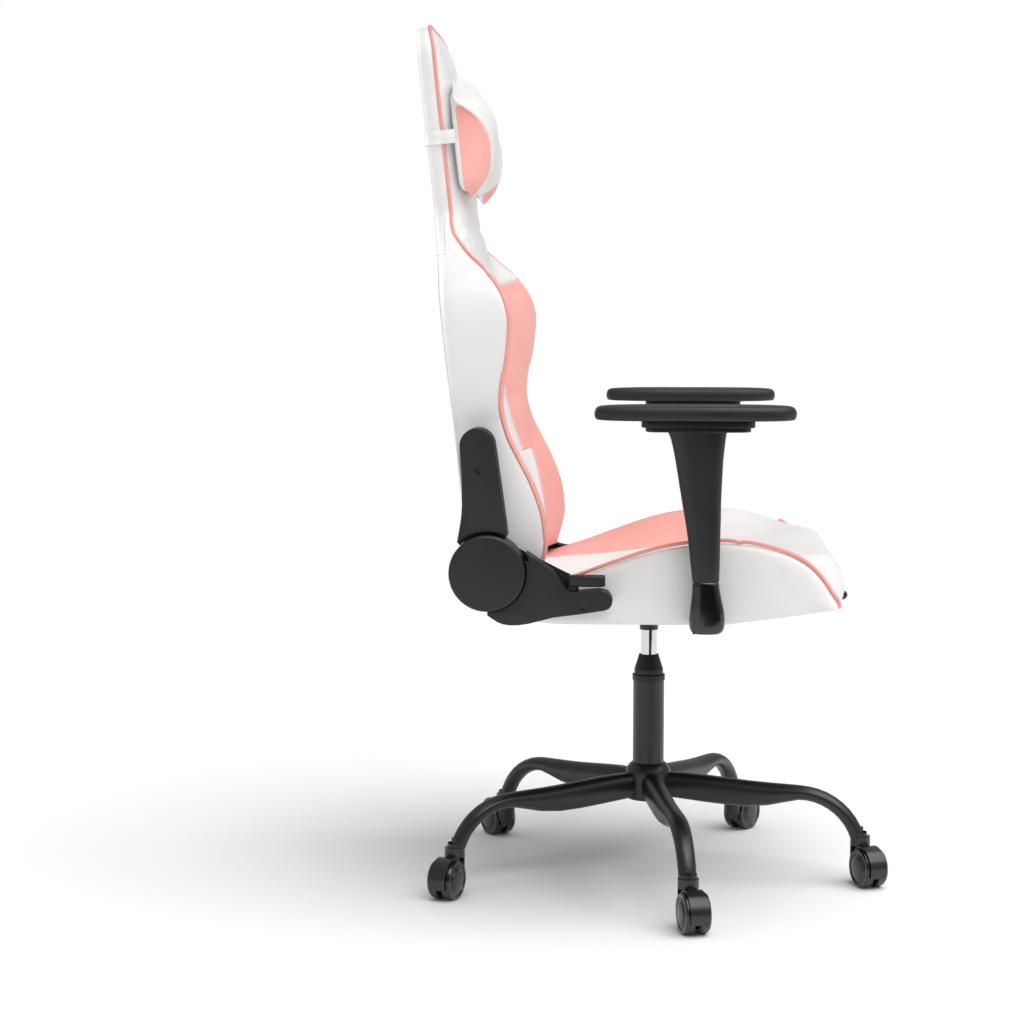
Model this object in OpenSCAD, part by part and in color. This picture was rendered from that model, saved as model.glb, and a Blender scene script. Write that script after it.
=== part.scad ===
// Reclining bucket chair on a five-leg caster base, with a gas lift,
// fixed armrests and a strapped-on head pillow.
// The sitter faces -Y, +Z is up, and the origin is on the floor on the column axis.

/* [Base] */
// Distance from the column axis to each caster stem
base_reach = 280; // [265:1:330]
// Turn of the first leg from straight back, in degrees
leg_turn = 28.5; // [0:0.5:71.5]
// Radius of the centre boss
hub_r = 30; // [27:0.5:34]
// Height of the boss's underside above the floor
hub_bottom = 101; // [98:1:108]
// Height of the boss's straight part
hub_height = 38; // [34:1:44]
// Height of the boss's sloped shoulder
hub_shoulder = 10; // [6:1:14]
// Width of a leg across its middle
leg_w = 28; // [22:1:32]
// Deepest section of a leg
leg_depth = 36; // [28:1:38]
// Depth of a leg's round end
leg_end_d = 18.6; // [17:0.2:21]
// Width of a leg's round end
leg_end_w = 22; // [19:0.5:26]
// Radius of the bend at a leg's outer end
leg_bend_r = 80; // [70:1:90]

/* [Casters] */
// Radius of a caster wheel
wheel_r = 25; // [22:0.5:26]
// Width of one caster wheel
wheel_w = 13; // [10:0.5:15]
// Thickness of the web between the twin wheels
web_t = 6.4; // [5:0.2:9]
// Distance from the swivel axis back to the wheel axle
caster_trail = 23; // [18:0.5:26]
// Radius of the caster's neck
neck_r = 13; // [11.5:0.5:14]
// Height of the neck's top above the wheels
neck_rise = 12; // [10:0.5:16]
// Width of the hood over the wheels
hood_w = 22; // [18:0.5:26]
// Thickness of the hood's rim
hood_t = 1.8; // [1.2:0.1:2.4]
// Radius of the swivel stem
stem_r = 4; // [3:0.5:4.5]
// Length of the stem held in the leg
stem_grip = 12; // [8:1:13]
// Radius of the wheel axle
axle_r = 2.5; // [2:0.25:3.5]

/* [Gas lift] */
// Travel of the gas lift
lift_travel = 100; // [60:5:100]
// Radius of the outer column tube
column_r = 20.5; // [20:0.5:22]
// Wall of the outer column tube
column_wall = 2.5; // [2:0.25:3]
// Height of the column tube's top above the floor
column_top = 264; // [255:1:275]
// Radius of the chrome cylinder
cylinder_r = 10.75; // [9.5:0.25:11]
// Wall of the chrome cylinder
cylinder_wall = 2.25; // [1.5:0.25:2.5]
// Height of the chrome cylinder's top above the floor
cylinder_top = 337; // [330:1:345]
// Length of the plastic guide bush
bush_length = 60; // [45:1:62]
// Radius of the piston rod
rod_r = 4; // [3:0.5:5]
// Height of the cone that caps the column
cap_height = 30; // [24:1:34]

/* [Seat] */
// Half of the seat's overall width
seat_half_w = 250; // [235:1:255]
// Height of the seat's flat underside above the floor
seat_bottom = 366; // [360:1:372]
// Half of the width of the flat middle of the seat
seat_panel_half = 145; // [120:1:165]
// Y of the front of the seat's nose
seat_front = -256; // [-270:1:-245]
// Y of the seat's back edge
seat_back = 166; // [150:1:167]
// Highest point of the seat's side bolsters above the floor
bolster_top = 467; // [455:1:475]
// Height of the flat middle at the back of the seat
panel_back_z = 412; // [404:1:416]
// Height of the flat middle just behind the nose
panel_front_z = 447; // [435:1:452]
// Radius of the seat's front corners in plan
seat_corner_r = 70; // [50:1:90]
// Rise of the seat's underside at its nose
nose_lift = 22; // [0:1:30]
// Distance from the seat's side in to the steel pan's side
pan_inset = 38; // [30:1:50]
// Thickness of the steel pan
pan_t = 3; // [2:0.5:4]
// Height of the pan's side flanges
pan_flange = 34; // [28:1:38]

/* [Backrest] */
// Lean of the upright backrest from vertical, in degrees
back_lean = 6; // [2:0.5:10]
// Length of the backrest from the hinge axis to its top
back_length = 679; // [640:1:700]
// Half of the backrest's width at its shoulders
shoulder_half = 268; // [260:1:275]
// Half of the width of the head part
head_half = 132; // [120:1:145]
// Rear face of the backrest, behind the hinge axis
back_rear = 27; // [24:1:32]
// Rear face of the head part, behind the hinge axis
head_rear = 33; // [28:1:36]
// Front face of the flat middle at the shoulders, ahead of the hinge axis
back_panel = 18; // [14:1:24]
// Front face of the flat middle at the hips, ahead of the hinge axis
back_hip_panel = 46; // [30:1:50]
// Furthest reach of the shoulder wings ahead of the hinge axis
wing_reach = 56; // [48:1:62]
// Furthest reach of the hip wings ahead of the hinge axis
hip_reach = 70; // [60:1:76]
// Radius of the main tube inside the backrest
frame_tube_r = 9; // [8:0.5:10]

/* [Head pillow] */
// Half of the head pillow's width
pillow_half = 132; // [110:1:145]
// Lowest point of the head pillow along the backrest
pillow_low = 458; // [445:1:470]
// Highest point of the head pillow along the backrest
pillow_high = 606; // [585:1:625]
// Thickness of the head pillow
pillow_depth = 43; // [34:1:50]
// Width of the pillow's elastic strap
strap_w = 17.5; // [15:0.5:28]
// Thickness of the strap
strap_t = 1.6; // [1.2:0.1:2.4]

/* [Armrests] */
// Distance from the seat's side out to each armrest's middle
arm_gap = 28; // [26:0.5:40]
// Y of the armrests' middle
arm_y = -56; // [-75:1:-40]
// Length of an armpad
armpad_length = 241; // [210:1:260]
// Width of an armpad
armpad_width = 84; // [70:1:95]
// Thickness of an armpad
armpad_t = 19; // [14:1:24]
// Height of an armpad's top above the floor
armpad_top = 636; // [610:1:660]
// Width of an armrest post at its foot
post_low_w = 33; // [28:1:38]
// Width of an armrest post at its top
post_high_w = 70; // [58:1:80]
// Height of the glossy foot's top edge above the floor
foot_top = 424; // [415:1:435]
// Width of the glossy foot
foot_w = 43; // [38:1:48]
// Thickness of the armrest's steel bar
arm_bar_t = 5; // [4:0.5:6]

/* [Recline hinge] */
// Y of the hinge axis
hinge_y = 192; // [188:1:200]
// Height of the hinge axis above the floor
hinge_z = 434; // [428:1:440]
// Thickness of the steel hinge brackets
bracket_t = 5; // [4:0.5:5]
// Radius of the hinge pins
hinge_pin_r = 6; // [5:0.5:8]
// Radius of the round hinge cap
hinge_cap_r = 46; // [40:0.5:48]
// Thickness of the round hinge cap
hinge_cap_t = 11; // [8:0.5:13]
// Depth of the plastic hinge covers, side to side
cover_depth = 30; // [28:1:36]
// Wall of the plastic hinge covers
cover_wall = 3; // [2:0.25:3]
// Height of the upper cover's tip above the hinge axis
cover_tip = 174; // [160:1:185]

/* [Levers] */
// Length of the recline lever's grip
recline_grip = 44; // [36:1:48]
// Droop of the lift lever from level, in degrees
lever_droop = 5; // [4:0.5:8]
// Upward crank of the lift lever's outer end, in degrees
lever_crank = 11.5; // [0:0.5:20]
// Length of the lift lever from the column axis
lift_lever_length = 362; // [330:1:380]
// Direction of the lift lever, in degrees from the chair's left
lift_lever_turn = -50; // [-60:1:-40]
// Distance from the column axis to the lift lever's pivot
lift_pivot = 34; // [30:0.5:35]

/* [Fits] */
// Radial clearance of a turning or sliding fit
run_fit = 0.05; // [0.02:0.01:0.08]
// Gap between faces that pass each other
side_gap = 0.3; // [0.2:0.05:0.5]
// Radial clearance of a bolt in its hole
bolt_fit = 0.2; // [0.1:0.05:0.4]

/* [Hidden] */
$fn = 64;
soft_fn = 32;
cut = 1;
sides = [-1, 1];
steel = "#1d1f1f";
plastic = "#2b2e2d";
gloss = "#161718";
white_leather = "#f4f4f4";
pink_leather = "#fbb3a3";

// Smooth curve through points: each span is cut into steps by a Catmull-Rom spline.
function spline_at(a, b, c, d, t) = 0.5 * ((2 * b) + (c - a) * t
    + (2 * a - 5 * b + 4 * c - d) * t * t + (3 * b - a - 3 * c + d) * t * t * t);
function smooth(points, steps) = let (last = len(points) - 1) concat(
    [for (i = [0 : last - 1], k = [0 : steps - 1])
        spline_at(points[max(i - 1, 0)], points[i], points[i + 1],
            points[min(i + 2, last)], k / steps)],
    [points[last]]);
function flip(points) = [for (i = [len(points) - 1 : -1 : 0]) [-points[i][0], points[i][1]]];

// --- Base and casters ---
// The stems' heading: each caster trails the way it was last pushed.
caster_heading = [158, 196, 204, 325, 35];
leg_step = 72;
leg_root = hub_r - 8;
leg_z = hub_bottom + hub_height / 2;
leg_end_r = leg_end_d / 2;
neck_top = 2 * wheel_r + neck_rise;
stub_height = 8;
bend_start = base_reach - leg_bend_r;
bend_z = neck_top - 26;
neck_low = neck_top - 12;
wheel_gap = web_t / 2 + side_gap;
wheel_clear = 0.8;
hood_r = wheel_r + wheel_clear + hood_t;
hood_front = 9;
boss_r = 7;
tread_t = 5;
wheel_hollow = 5;
axle_cover = 2.5;
axle_end_gap = 0.5;
axle_length = 2 * (wheel_gap + wheel_w - axle_cover - axle_end_gap);
leg_mid_1 = 75;
leg_mid_2 = 133;
stem_drop = 8;

// One flat slice of a leg, square to its path.
module leg_slice(y, z, tilt, width, depth) {
    translate([0, y, z]) rotate([-tilt, 0, 0]) scale([width / 2, 1, depth / 2])
        rotate([90, 0, 0]) cylinder(r = 1, h = 1, center = true, $fn = soft_fn);
}
module leg_bend_slice(tilt) {
    leg_slice(bend_start + leg_bend_r * sin(tilt), bend_z + leg_bend_r * cos(tilt), tilt,
        leg_w + (leg_end_w - leg_w) * tilt / 90, leg_end_d);
}
module leg_stub() {
    translate([0, base_reach, neck_top]) scale([leg_end_w / leg_end_d, 1, 1])
        cylinder(r = leg_end_r, h = stub_height, $fn = soft_fn);
}
module leg(index) {
    color(steel) rotate([0, 0, leg_turn + leg_step * (index - 1)]) difference() {
        union() {
            hull() {
                leg_slice(leg_root, leg_z + 1, 3, leg_w, leg_depth - 4);
                leg_slice(leg_mid_1, leg_z - 4, 3, leg_w, leg_depth);
            }
            hull() {
                leg_slice(leg_mid_1, leg_z - 4, 3, leg_w, leg_depth);
                leg_slice(leg_mid_2, leg_z - 8, 2, leg_w, leg_depth - 1);
            }
            hull() {
                leg_slice(leg_mid_2, leg_z - 8, 2, leg_w, leg_depth - 1);
                leg_bend_slice(0);
            }
            hull() {
                leg_bend_slice(0);
                leg_bend_slice(22);
            }
            hull() {
                leg_bend_slice(22);
                leg_bend_slice(43);
            }
            hull() {
                leg_bend_slice(43);
                leg_bend_slice(60);
            }
            hull() {
                leg_bend_slice(60);
                leg_stub();
            }
        }
        translate([0, base_reach, neck_top - cut])
            cylinder(r = stem_r + run_fit, h = stem_grip + cut + 1);
        cylinder(r = hub_r, h = cylinder_top);
    }
}
module base_hub() {
    color(steel) translate([0, 0, hub_bottom]) rotate_extrude($fn = 96)
        polygon([[column_r, 0], [hub_r - 2, 0], [hub_r, 2], [hub_r, hub_height],
            [column_r + 3, hub_height + hub_shoulder], [column_r, hub_height + hub_shoulder]]);
}
// Puts a caster's own frame (stem at the origin, trailing along +Y) under its leg.
module at_caster(index) {
    rotate([0, 0, leg_turn + leg_step * (index - 1)]) translate([0, base_reach, 0])
        rotate([0, 0, caster_heading[index - 1] - 90 - leg_turn - leg_step * (index - 1)])
            children();
}
module caster_hood(index) {
    color(gloss) at_caster(index) difference() {
        union() {
            intersection() {
                translate([0, caster_trail, wheel_r]) rotate([0, 90, 0])
                    cylinder(r = hood_r, h = hood_w, center = true);
                translate([-hood_w, -neck_r, wheel_r - hood_front])
                    cube([2 * hood_w, 3 * hood_r, 2 * hood_r]);
            }
            translate([0, 0, neck_low]) cylinder(r = neck_r, h = neck_top - neck_low);
            intersection() {
                translate([0, 0, wheel_r]) cylinder(r = neck_r, h = neck_low - wheel_r + cut);
                translate([-neck_r, -neck_r, 0]) cube([2 * neck_r, neck_r, neck_top]);
            }
        }
        for (side = sides) translate([side * (web_t / 2 + wheel_w), caster_trail, wheel_r])
            rotate([0, 90, 0]) cylinder(r = wheel_r + wheel_clear, h = 2 * wheel_w, center = true);
        translate([0, caster_trail, wheel_r]) rotate([0, 90, 0])
            cylinder(r = axle_r, h = 2 * hood_w, center = true);
        translate([0, 0, neck_low - stem_drop]) cylinder(r = stem_r, h = neck_top);
    }
}
module caster_pins(index) {
    color("silver") at_caster(index) {
        translate([0, 0, neck_low - stem_drop])
            cylinder(r = stem_r, h = neck_top + stem_grip - neck_low + stem_drop);
        translate([0, caster_trail, wheel_r]) rotate([0, 90, 0])
            cylinder(r = axle_r, h = axle_length, center = true);
    }
}
module wheel(index, side) {
    color(gloss) at_caster(index) translate([0, caster_trail, wheel_r])
        rotate([0, 90 * side, 0]) translate([0, 0, wheel_gap]) rotate_extrude($fn = 72)
            polygon([[axle_r + run_fit, 0], [boss_r, 0], [boss_r, wheel_hollow],
                [wheel_r - tread_t, wheel_hollow], [wheel_r - tread_t, 0], [wheel_r - 1, 0],
                [wheel_r, 1], [wheel_r, wheel_w - 3], [wheel_r - 1.5, wheel_w - 0.8],
                [wheel_r - 4, wheel_w - 0.8], [wheel_r - 5, wheel_w - 2],
                [wheel_r - 6.5, wheel_w - 2], [wheel_r - 8, wheel_w - 0.8],
                [wheel_r - 14, wheel_w], [0, wheel_w], [0, wheel_w - axle_cover],
                [axle_r + run_fit, wheel_w - axle_cover]]);
}

// --- Gas lift ---
column_floor = 3;
column_bottom = hub_bottom + 2;
bearing_r = 12;
bearing_h = 4;
bearing_z = column_bottom + column_floor;
cylinder_bottom = bearing_z + bearing_h + 6;
cylinder_bore = cylinder_r - cylinder_wall;
seal_h = 8;
piston_h = 10;
piston_spare = 66;
rod_top = cylinder_bottom + seal_h + lift_travel + piston_spare + piston_h;
cap_skirt = 4;
pin_r = 3;
pin_gap = 0.5;
lever_r = 4;
lever_z = cylinder_top + 18;
pin_top = lever_z + lift_pivot * sin(lever_droop) - lever_r / cos(lever_droop) - pin_gap;
pin_bottom = cylinder_top - 14;

module column_tube() {
    color(steel) difference() {
        translate([0, 0, column_bottom]) cylinder(r = column_r, h = column_top - column_bottom);
        translate([0, 0, bearing_z])
            cylinder(r = column_r - column_wall, h = column_top - bearing_z + cut);
        translate([0, 0, column_bottom - cut])
            cylinder(r = rod_r + run_fit, h = column_floor + 2 * cut);
    }
}
module guide_bush() {
    color("dimgray") translate([0, 0, column_top - bush_length]) difference() {
        cylinder(r = column_r - column_wall, h = bush_length);
        translate([0, 0, -cut]) cylinder(r = cylinder_r + run_fit, h = bush_length + 2 * cut);
    }
}
module dust_cap() {
    color(plastic) translate([0, 0, column_top - cap_skirt]) rotate_extrude($fn = 96)
        polygon([[cylinder_r + side_gap, cap_skirt], [column_r, cap_skirt], [column_r, 0],
            [column_r + 1, 0], [column_r + 1, cap_skirt + 3], [column_r - 1.5, cap_skirt + 4],
            [column_r - 1.5, cap_skirt + 10], [cylinder_r + 2, cap_skirt + cap_height],
            [cylinder_r + side_gap, cap_skirt + cap_height]]);
}
module thrust_bearing() {
    color("silver") translate([0, 0, bearing_z]) difference() {
        cylinder(r = bearing_r, h = bearing_h);
        translate([0, 0, -cut]) cylinder(r = rod_r + side_gap, h = bearing_h + 2 * cut);
    }
}
// The rod hangs on its collar over the bearing, with a clip under the column's floor.
module piston_rod() {
    color("silver") union() {
        translate([0, 0, hub_bottom]) cylinder(r = rod_r, h = rod_top - hub_bottom);
        translate([0, 0, bearing_z + bearing_h + side_gap]) cylinder(r = bearing_r - 3, h = 3);
        translate([0, 0, hub_bottom]) cylinder(r = rod_r + 3, h = 2 - side_gap);
        translate([0, 0, rod_top - piston_h]) cylinder(r = cylinder_bore - run_fit, h = piston_h);
    }
}
module gas_cylinder() {
    color("silver") difference() {
        translate([0, 0, cylinder_bottom])
            cylinder(r = cylinder_r, h = cylinder_top - cylinder_bottom);
        translate([0, 0, cylinder_bottom + seal_h])
            cylinder(r = cylinder_bore, h = pin_bottom - 6 - cylinder_bottom - seal_h);
        translate([0, 0, cylinder_bottom - cut])
            cylinder(r = rod_r + run_fit, h = seal_h + 2 * cut);
        translate([0, 0, pin_bottom - 7])
            cylinder(r = pin_r + run_fit, h = cylinder_top - pin_bottom + 8);
    }
}
module release_pin() {
    color("silver") translate([0, 0, pin_bottom]) cylinder(r = pin_r, h = pin_top - pin_bottom);
}

// --- Under the seat ---
plate_t = 4;
plate_x = 95;
plate_y = 100;
plate_bolt_x = 75;
plate_bolt_y = 78;
socket_low = cylinder_top - 10;
socket_wall = 1.5;
housing_r = 46;
housing_wall = 3;
housing_floor = 2;
housing_z = cylinder_top + 9;
bolt_r = 4;
bolt_head_r = 6.5;
bolt_head_h = 4;
bolt_tip = 6;
pivot_pin_r = 2;
lug_gap = lever_r + side_gap;
lug_t = 5;
lug_w = 12;
lever_slot = 14;
bar_w = 30;
pan_half_w = seat_half_w - pan_inset;
pan_front = -200;
pan_back = 152;
rise_start = -85;
arm_x = seat_half_w + arm_gap;
bar_start = pan_half_w - 97;
bar_bolts = [pan_half_w - 72, pan_half_w - 27];
bar_y = arm_y - 13;
screw_head_h = 2;

// Turns +X to the lift lever's direction.
module lever_frame() {
    rotate([0, 0, lift_lever_turn]) children();
}
module lever_pin(radius, length) {
    lever_frame() translate([lift_pivot, 0, lever_z]) rotate([90, 0, 0])
        cylinder(r = radius, h = length, center = true);
}
module seat_plate() {
    color(steel) difference() {
        union() {
            translate([0, 0, socket_low])
                cylinder(r = cylinder_r + socket_wall, h = housing_z + housing_floor - socket_low);
            translate([0, 0, housing_z]) difference() {
                cylinder(r = housing_r, h = seat_bottom - housing_z);
                translate([0, 0, housing_floor])
                    cylinder(r = housing_r - housing_wall, h = seat_bottom);
            }
            translate([0, 0, seat_bottom - plate_t]) difference() {
                translate([-plate_x, -plate_y, 0]) cube([2 * plate_x, 2 * plate_y, plate_t]);
                translate([0, 0, -cut]) cylinder(r = housing_r - housing_wall, h = plate_t + 2 * cut);
            }
            lever_frame() for (side = sides)
                translate([lift_pivot - lug_w / 2, side * (lug_gap + lug_t / 2) - lug_t / 2, housing_z])
                    cube([lug_w, lug_t, lever_z + 5 - housing_z]);
        }
        translate([0, 0, socket_low - cut])
            cylinder(r = cylinder_r, h = cylinder_top - socket_low + cut);
        translate([0, 0, cylinder_top - cut]) cylinder(r = pin_r + 1, h = seat_bottom);
        lever_frame() translate([lift_pivot + lug_w / 2, -lever_slot / 2, housing_z + housing_floor])
            cube([2 * plate_y, lever_slot, seat_bottom]);
        lever_pin(pivot_pin_r, 2 * housing_r);
        plate_bolt_holes();
    }
}
module plate_bolt_holes() {
    for (sx = sides, sy = sides) translate([sx * plate_bolt_x, sy * plate_bolt_y, 0])
        cylinder(r = bolt_r + bolt_fit, h = seat_bottom + pan_t + bolt_tip + cut);
}
module bar_bolt_holes() {
    for (sx = sides, bolt_x = bar_bolts) translate([sx * bolt_x, bar_y, 0])
        cylinder(r = bolt_r + bolt_fit, h = seat_bottom + pan_t + bolt_tip + cut);
}
module bracket_bolt_holes() {
    for (bolt_y = bracket_bolts) translate([0, bolt_y, bracket_bolt_z]) rotate([0, 90, 0])
        difference() {
            cylinder(r = bolt_r + bolt_fit, h = 2 * cover_out, center = true);
            cylinder(r = 2 * bolt_r, h = 2 * (pan_half_w - pan_t - bolt_tip - cut), center = true);
        }
}
module bolt(length) {
    cylinder(r = bolt_r, h = length);
    translate([0, 0, -bolt_head_h]) cylinder(r = bolt_head_r, h = bolt_head_h, $fn = 6);
}
module seat_bolts() {
    color("darkgray") {
        for (sx = sides, sy = sides)
            translate([sx * plate_bolt_x, sy * plate_bolt_y, seat_bottom - plate_t])
                bolt(plate_t + pan_t + bolt_tip);
        for (sx = sides, bolt_x = bar_bolts)
            translate([sx * bolt_x, bar_y, seat_bottom - arm_bar_t])
                bolt(arm_bar_t + pan_t + bolt_tip);
        for (sx = sides, bolt_y = bracket_bolts)
            translate([sx * (bracket_in + bracket_t), bolt_y, bracket_bolt_z])
                rotate([0, -90 * sx, 0])
                    bolt(bracket_in + bracket_t - pan_half_w + pan_t + bolt_tip);
        lever_pin(pivot_pin_r, 2 * (lug_gap + lug_t));
        for (sx = sides) translate([sx * (cover_out - screw_sink), seat_screw_y, seat_screw_z])
            rotate([0, -90 * sx, 0]) cover_screw();
    }
}
module cover_screw() {
    cylinder(r = screw_r, h = cover_out - screw_sink - bracket_in);
    cylinder(r = screw_head_r, h = screw_head_h);
}
// The underside is level at the back and rises to the nose.
function underside(y) = seat_bottom
    + nose_lift * max(0, rise_start - y) / (rise_start - seat_front);
module pan_profile(front_top, back_top) {
    polygon([[pan_back, seat_bottom], [rise_start, seat_bottom],
        [pan_front, underside(pan_front)], [pan_front, front_top], [rise_start, back_top],
        [pan_back, back_top]]);
}
module pan_shape() {
    along_x(-pan_half_w, pan_half_w)
        pan_profile(underside(pan_front) + pan_t, seat_bottom + pan_t);
    for (side = sides) on_side(side) along_x(pan_half_w - pan_t, pan_half_w)
        pan_profile(seat_bottom + pan_flange, seat_bottom + pan_flange);
}
module seat_pan() {
    color(steel) difference() {
        pan_shape();
        plate_bolt_holes();
        bar_bolt_holes();
        bracket_bolt_holes();
    }
}

// Side view of the seat's bolsters and of its flat middle, from back to front.
bolster_line = smooth([[seat_back, panel_back_z - 12], [110, panel_back_z + 5],
    [30, bolster_top - 20], [-45, bolster_top - 4], [-100, bolster_top],
    [-152, bolster_top - 8], [seat_front + 60, bolster_top - 27],
    [seat_front + 35, bolster_top - 54], [seat_front + 22, seat_bottom + 24],
    [seat_front + 26, seat_bottom]], 5);
panel_line = smooth([[seat_back, panel_back_z - 8], [110, panel_back_z],
    [0, panel_back_z + 12], [-110, panel_front_z - 8], [-185, panel_front_z + 2],
    [seat_front + 28, panel_front_z - 5], [seat_front + 8, seat_bottom + 46],
    [seat_front, seat_bottom + 20], [seat_front + 6, seat_bottom]], 5);
seat_back_corner = 30;

module along_x(low, high) {
    translate([low, 0, 0]) rotate([90, 0, 90]) linear_extrude(height = high - low) children();
}
module seat_plan() {
    linear_extrude(height = cover_out + 2 * seat_bottom) union() {
        for (side = sides) {
            translate([side * (seat_half_w - seat_corner_r), seat_front + seat_corner_r])
                circle(r = seat_corner_r);
            translate([side * (seat_half_w - seat_back_corner), seat_back - seat_back_corner])
                circle(r = seat_back_corner);
        }
        translate([-seat_half_w, seat_front + seat_corner_r])
            square([2 * seat_half_w, seat_back - seat_back_corner - seat_front - seat_corner_r]);
        translate([-seat_half_w + seat_corner_r, seat_front])
            square([2 * (seat_half_w - seat_corner_r), seat_corner_r]);
        translate([-seat_half_w + seat_back_corner, seat_back - seat_back_corner])
            square([2 * (seat_half_w - seat_back_corner), seat_back_corner]);
    }
}
module seat_bolster_section() {
    for (side = sides) translate([0, seat_back + cut, 0]) rotate([90, 0, 0])
        linear_extrude(height = seat_back - seat_front + 2 * cut)
            polygon([[side * seat_panel_half, seat_bottom],
                [side * seat_panel_half, panel_back_z + 8],
                [side * (seat_half_w - 40), bolster_top + 2],
                [side * (seat_half_w - 12), bolster_top + 2],
                [side * seat_half_w, bolster_top - 25], [side * seat_half_w, seat_bottom]]);
}
module seat_cushion() {
    color(white_leather) difference() {
        intersection() {
            seat_plan();
            union() {
                along_x(-seat_half_w, seat_half_w)
                    polygon(concat(panel_line, [[seat_back, seat_bottom]]));
                intersection() {
                    along_x(-seat_half_w, seat_half_w)
                        polygon(concat(bolster_line, [[seat_back, seat_bottom]]));
                    seat_bolster_section();
                }
            }
        }
        along_x(-2 * seat_half_w, 2 * seat_half_w)
            polygon([[rise_start, seat_bottom - cut], [rise_start, seat_bottom],
                [2 * seat_front, underside(2 * seat_front)], [2 * seat_front, seat_bottom - cut]]);
        pan_shape();
        plate_bolt_holes();
        bar_bolt_holes();
        bracket_bolt_holes();
    }
}

// --- Armrests ---
post_t_low = 25;
post_t_high = 38;
foot_t = 30;
foot_low = seat_bottom - arm_bar_t;
bar_rise = 40;
upright_w = 22;
plate_low_t = 5;
plate_high_t = 8;
post_top = armpad_top - armpad_t - plate_low_t - plate_high_t;

// A flat slice with round corners.
module slab(width, depth, corner, height) {
    linear_extrude(height = height) union() {
        for (sx = sides, sy = sides)
            translate([sx * (width / 2 - corner), sy * (depth / 2 - corner)])
                circle(r = corner, $fn = soft_fn);
        square([width - 2 * corner, depth], center = true);
        square([width, depth - 2 * corner], center = true);
    }
}
module arm_bar_shape() {
    translate([bar_start, bar_y - bar_w / 2, foot_low])
        cube([arm_x + arm_bar_t / 2 - bar_start, bar_w, arm_bar_t]);
    translate([arm_x - arm_bar_t / 2, bar_y - upright_w / 2, foot_low])
        cube([arm_bar_t, upright_w, foot_top + bar_rise - foot_low]);
}
module on_side(side) {
    mirror([side < 0 ? 1 : 0, 0, 0]) children();
}
module arm_bars() {
    color(steel) difference() {
        for (side = sides) on_side(side) arm_bar_shape();
        bar_bolt_holes();
    }
}
module arm_feet() {
    color(gloss) for (side = sides) on_side(side) difference() {
        union() {
            hull() {
                translate([arm_x, bar_y, foot_top - 3]) slab(foot_t - 3, post_low_w + 4, 8, 3);
                translate([arm_x, bar_y - 1, foot_top - 38]) slab(foot_t, foot_w - 2, 9, 3);
            }
            hull() {
                translate([arm_x, bar_y - 1, foot_top - 38]) slab(foot_t, foot_w - 2, 9, 3);
                translate([arm_x, bar_y - 1, foot_low + 12]) slab(foot_t, foot_w, 9, 4);
                translate([arm_x, bar_y - 1, foot_low]) slab(foot_t - 8, foot_w - 10, 7, 2);
            }
        }
        arm_bar_shape();
    }
}
module arm_post(side) {
    color(plastic) on_side(side) difference() {
        union() {
            hull() {
                translate([arm_x, bar_y, foot_top]) slab(post_t_low, post_low_w, 8, 2);
                translate([arm_x, bar_y + 8, post_top - 32])
                    slab(post_t_high - 4, post_high_w - 13, 10, 2);
            }
            hull() {
                translate([arm_x, bar_y + 8, post_top - 32])
                    slab(post_t_high - 4, post_high_w - 13, 10, 2);
                translate([arm_x, arm_y - 2, post_top - 6]) slab(post_t_high, post_high_w, 11, 6);
            }
        }
        arm_bar_shape();
    }
}
module pad_plates() {
    color(plastic) for (side = sides) on_side(side) {
        translate([arm_x, arm_y - 3, post_top]) slab(56, 125, 14, plate_low_t);
        translate([arm_x, arm_y - 3, post_top + plate_low_t]) slab(64, 135, 18, plate_high_t);
    }
}
module armpad(side) {
    color(plastic) on_side(side) translate([arm_x, arm_y, armpad_top - armpad_t]) hull() {
        slab(armpad_width - 18, armpad_length - 22, 24, 2);
        translate([0, 0, armpad_t * 0.4]) slab(armpad_width, armpad_length, 32, 5);
        translate([0, 0, armpad_t - 2]) slab(armpad_width - 14, armpad_length - 18, 26, 2);
    }
}

// --- Recline hinge: brackets, pins, covers and caps ---
bracket_in = seat_half_w + side_gap;
back_bracket_in = bracket_in + bracket_t + side_gap;
cover_in = back_bracket_in + bracket_t + side_gap;
cover_out = cover_in + cover_depth;
cover_mid = cover_in + cover_depth / 2;
cap_gap = 6;
lip_gap = 1;
cap_parting = 14;
cover_disc_t = 4;
bracket_bolts = [118, 150];
bracket_bolt_z = seat_bottom + 28;
lever_y = 97;
lever_pivot_z = 398;
lever_pin_r = 4;
seat_screw_y = 76;
seat_screw_z = 394;
screw_r = 3;
screw_head_r = 5;
screw_sink = 3;
back_screw_y = -3;
back_screw_z = 124;
back_bolts_z = [70, 143];
frame_y = 6;
frame_x = seat_half_w - 25;
eye_r = 26;
bolt_eye_r = 13;
tip_eye_r = 9;
back_eye_r = 28;
back_tip_r = 16;
back_low = -24;

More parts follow.
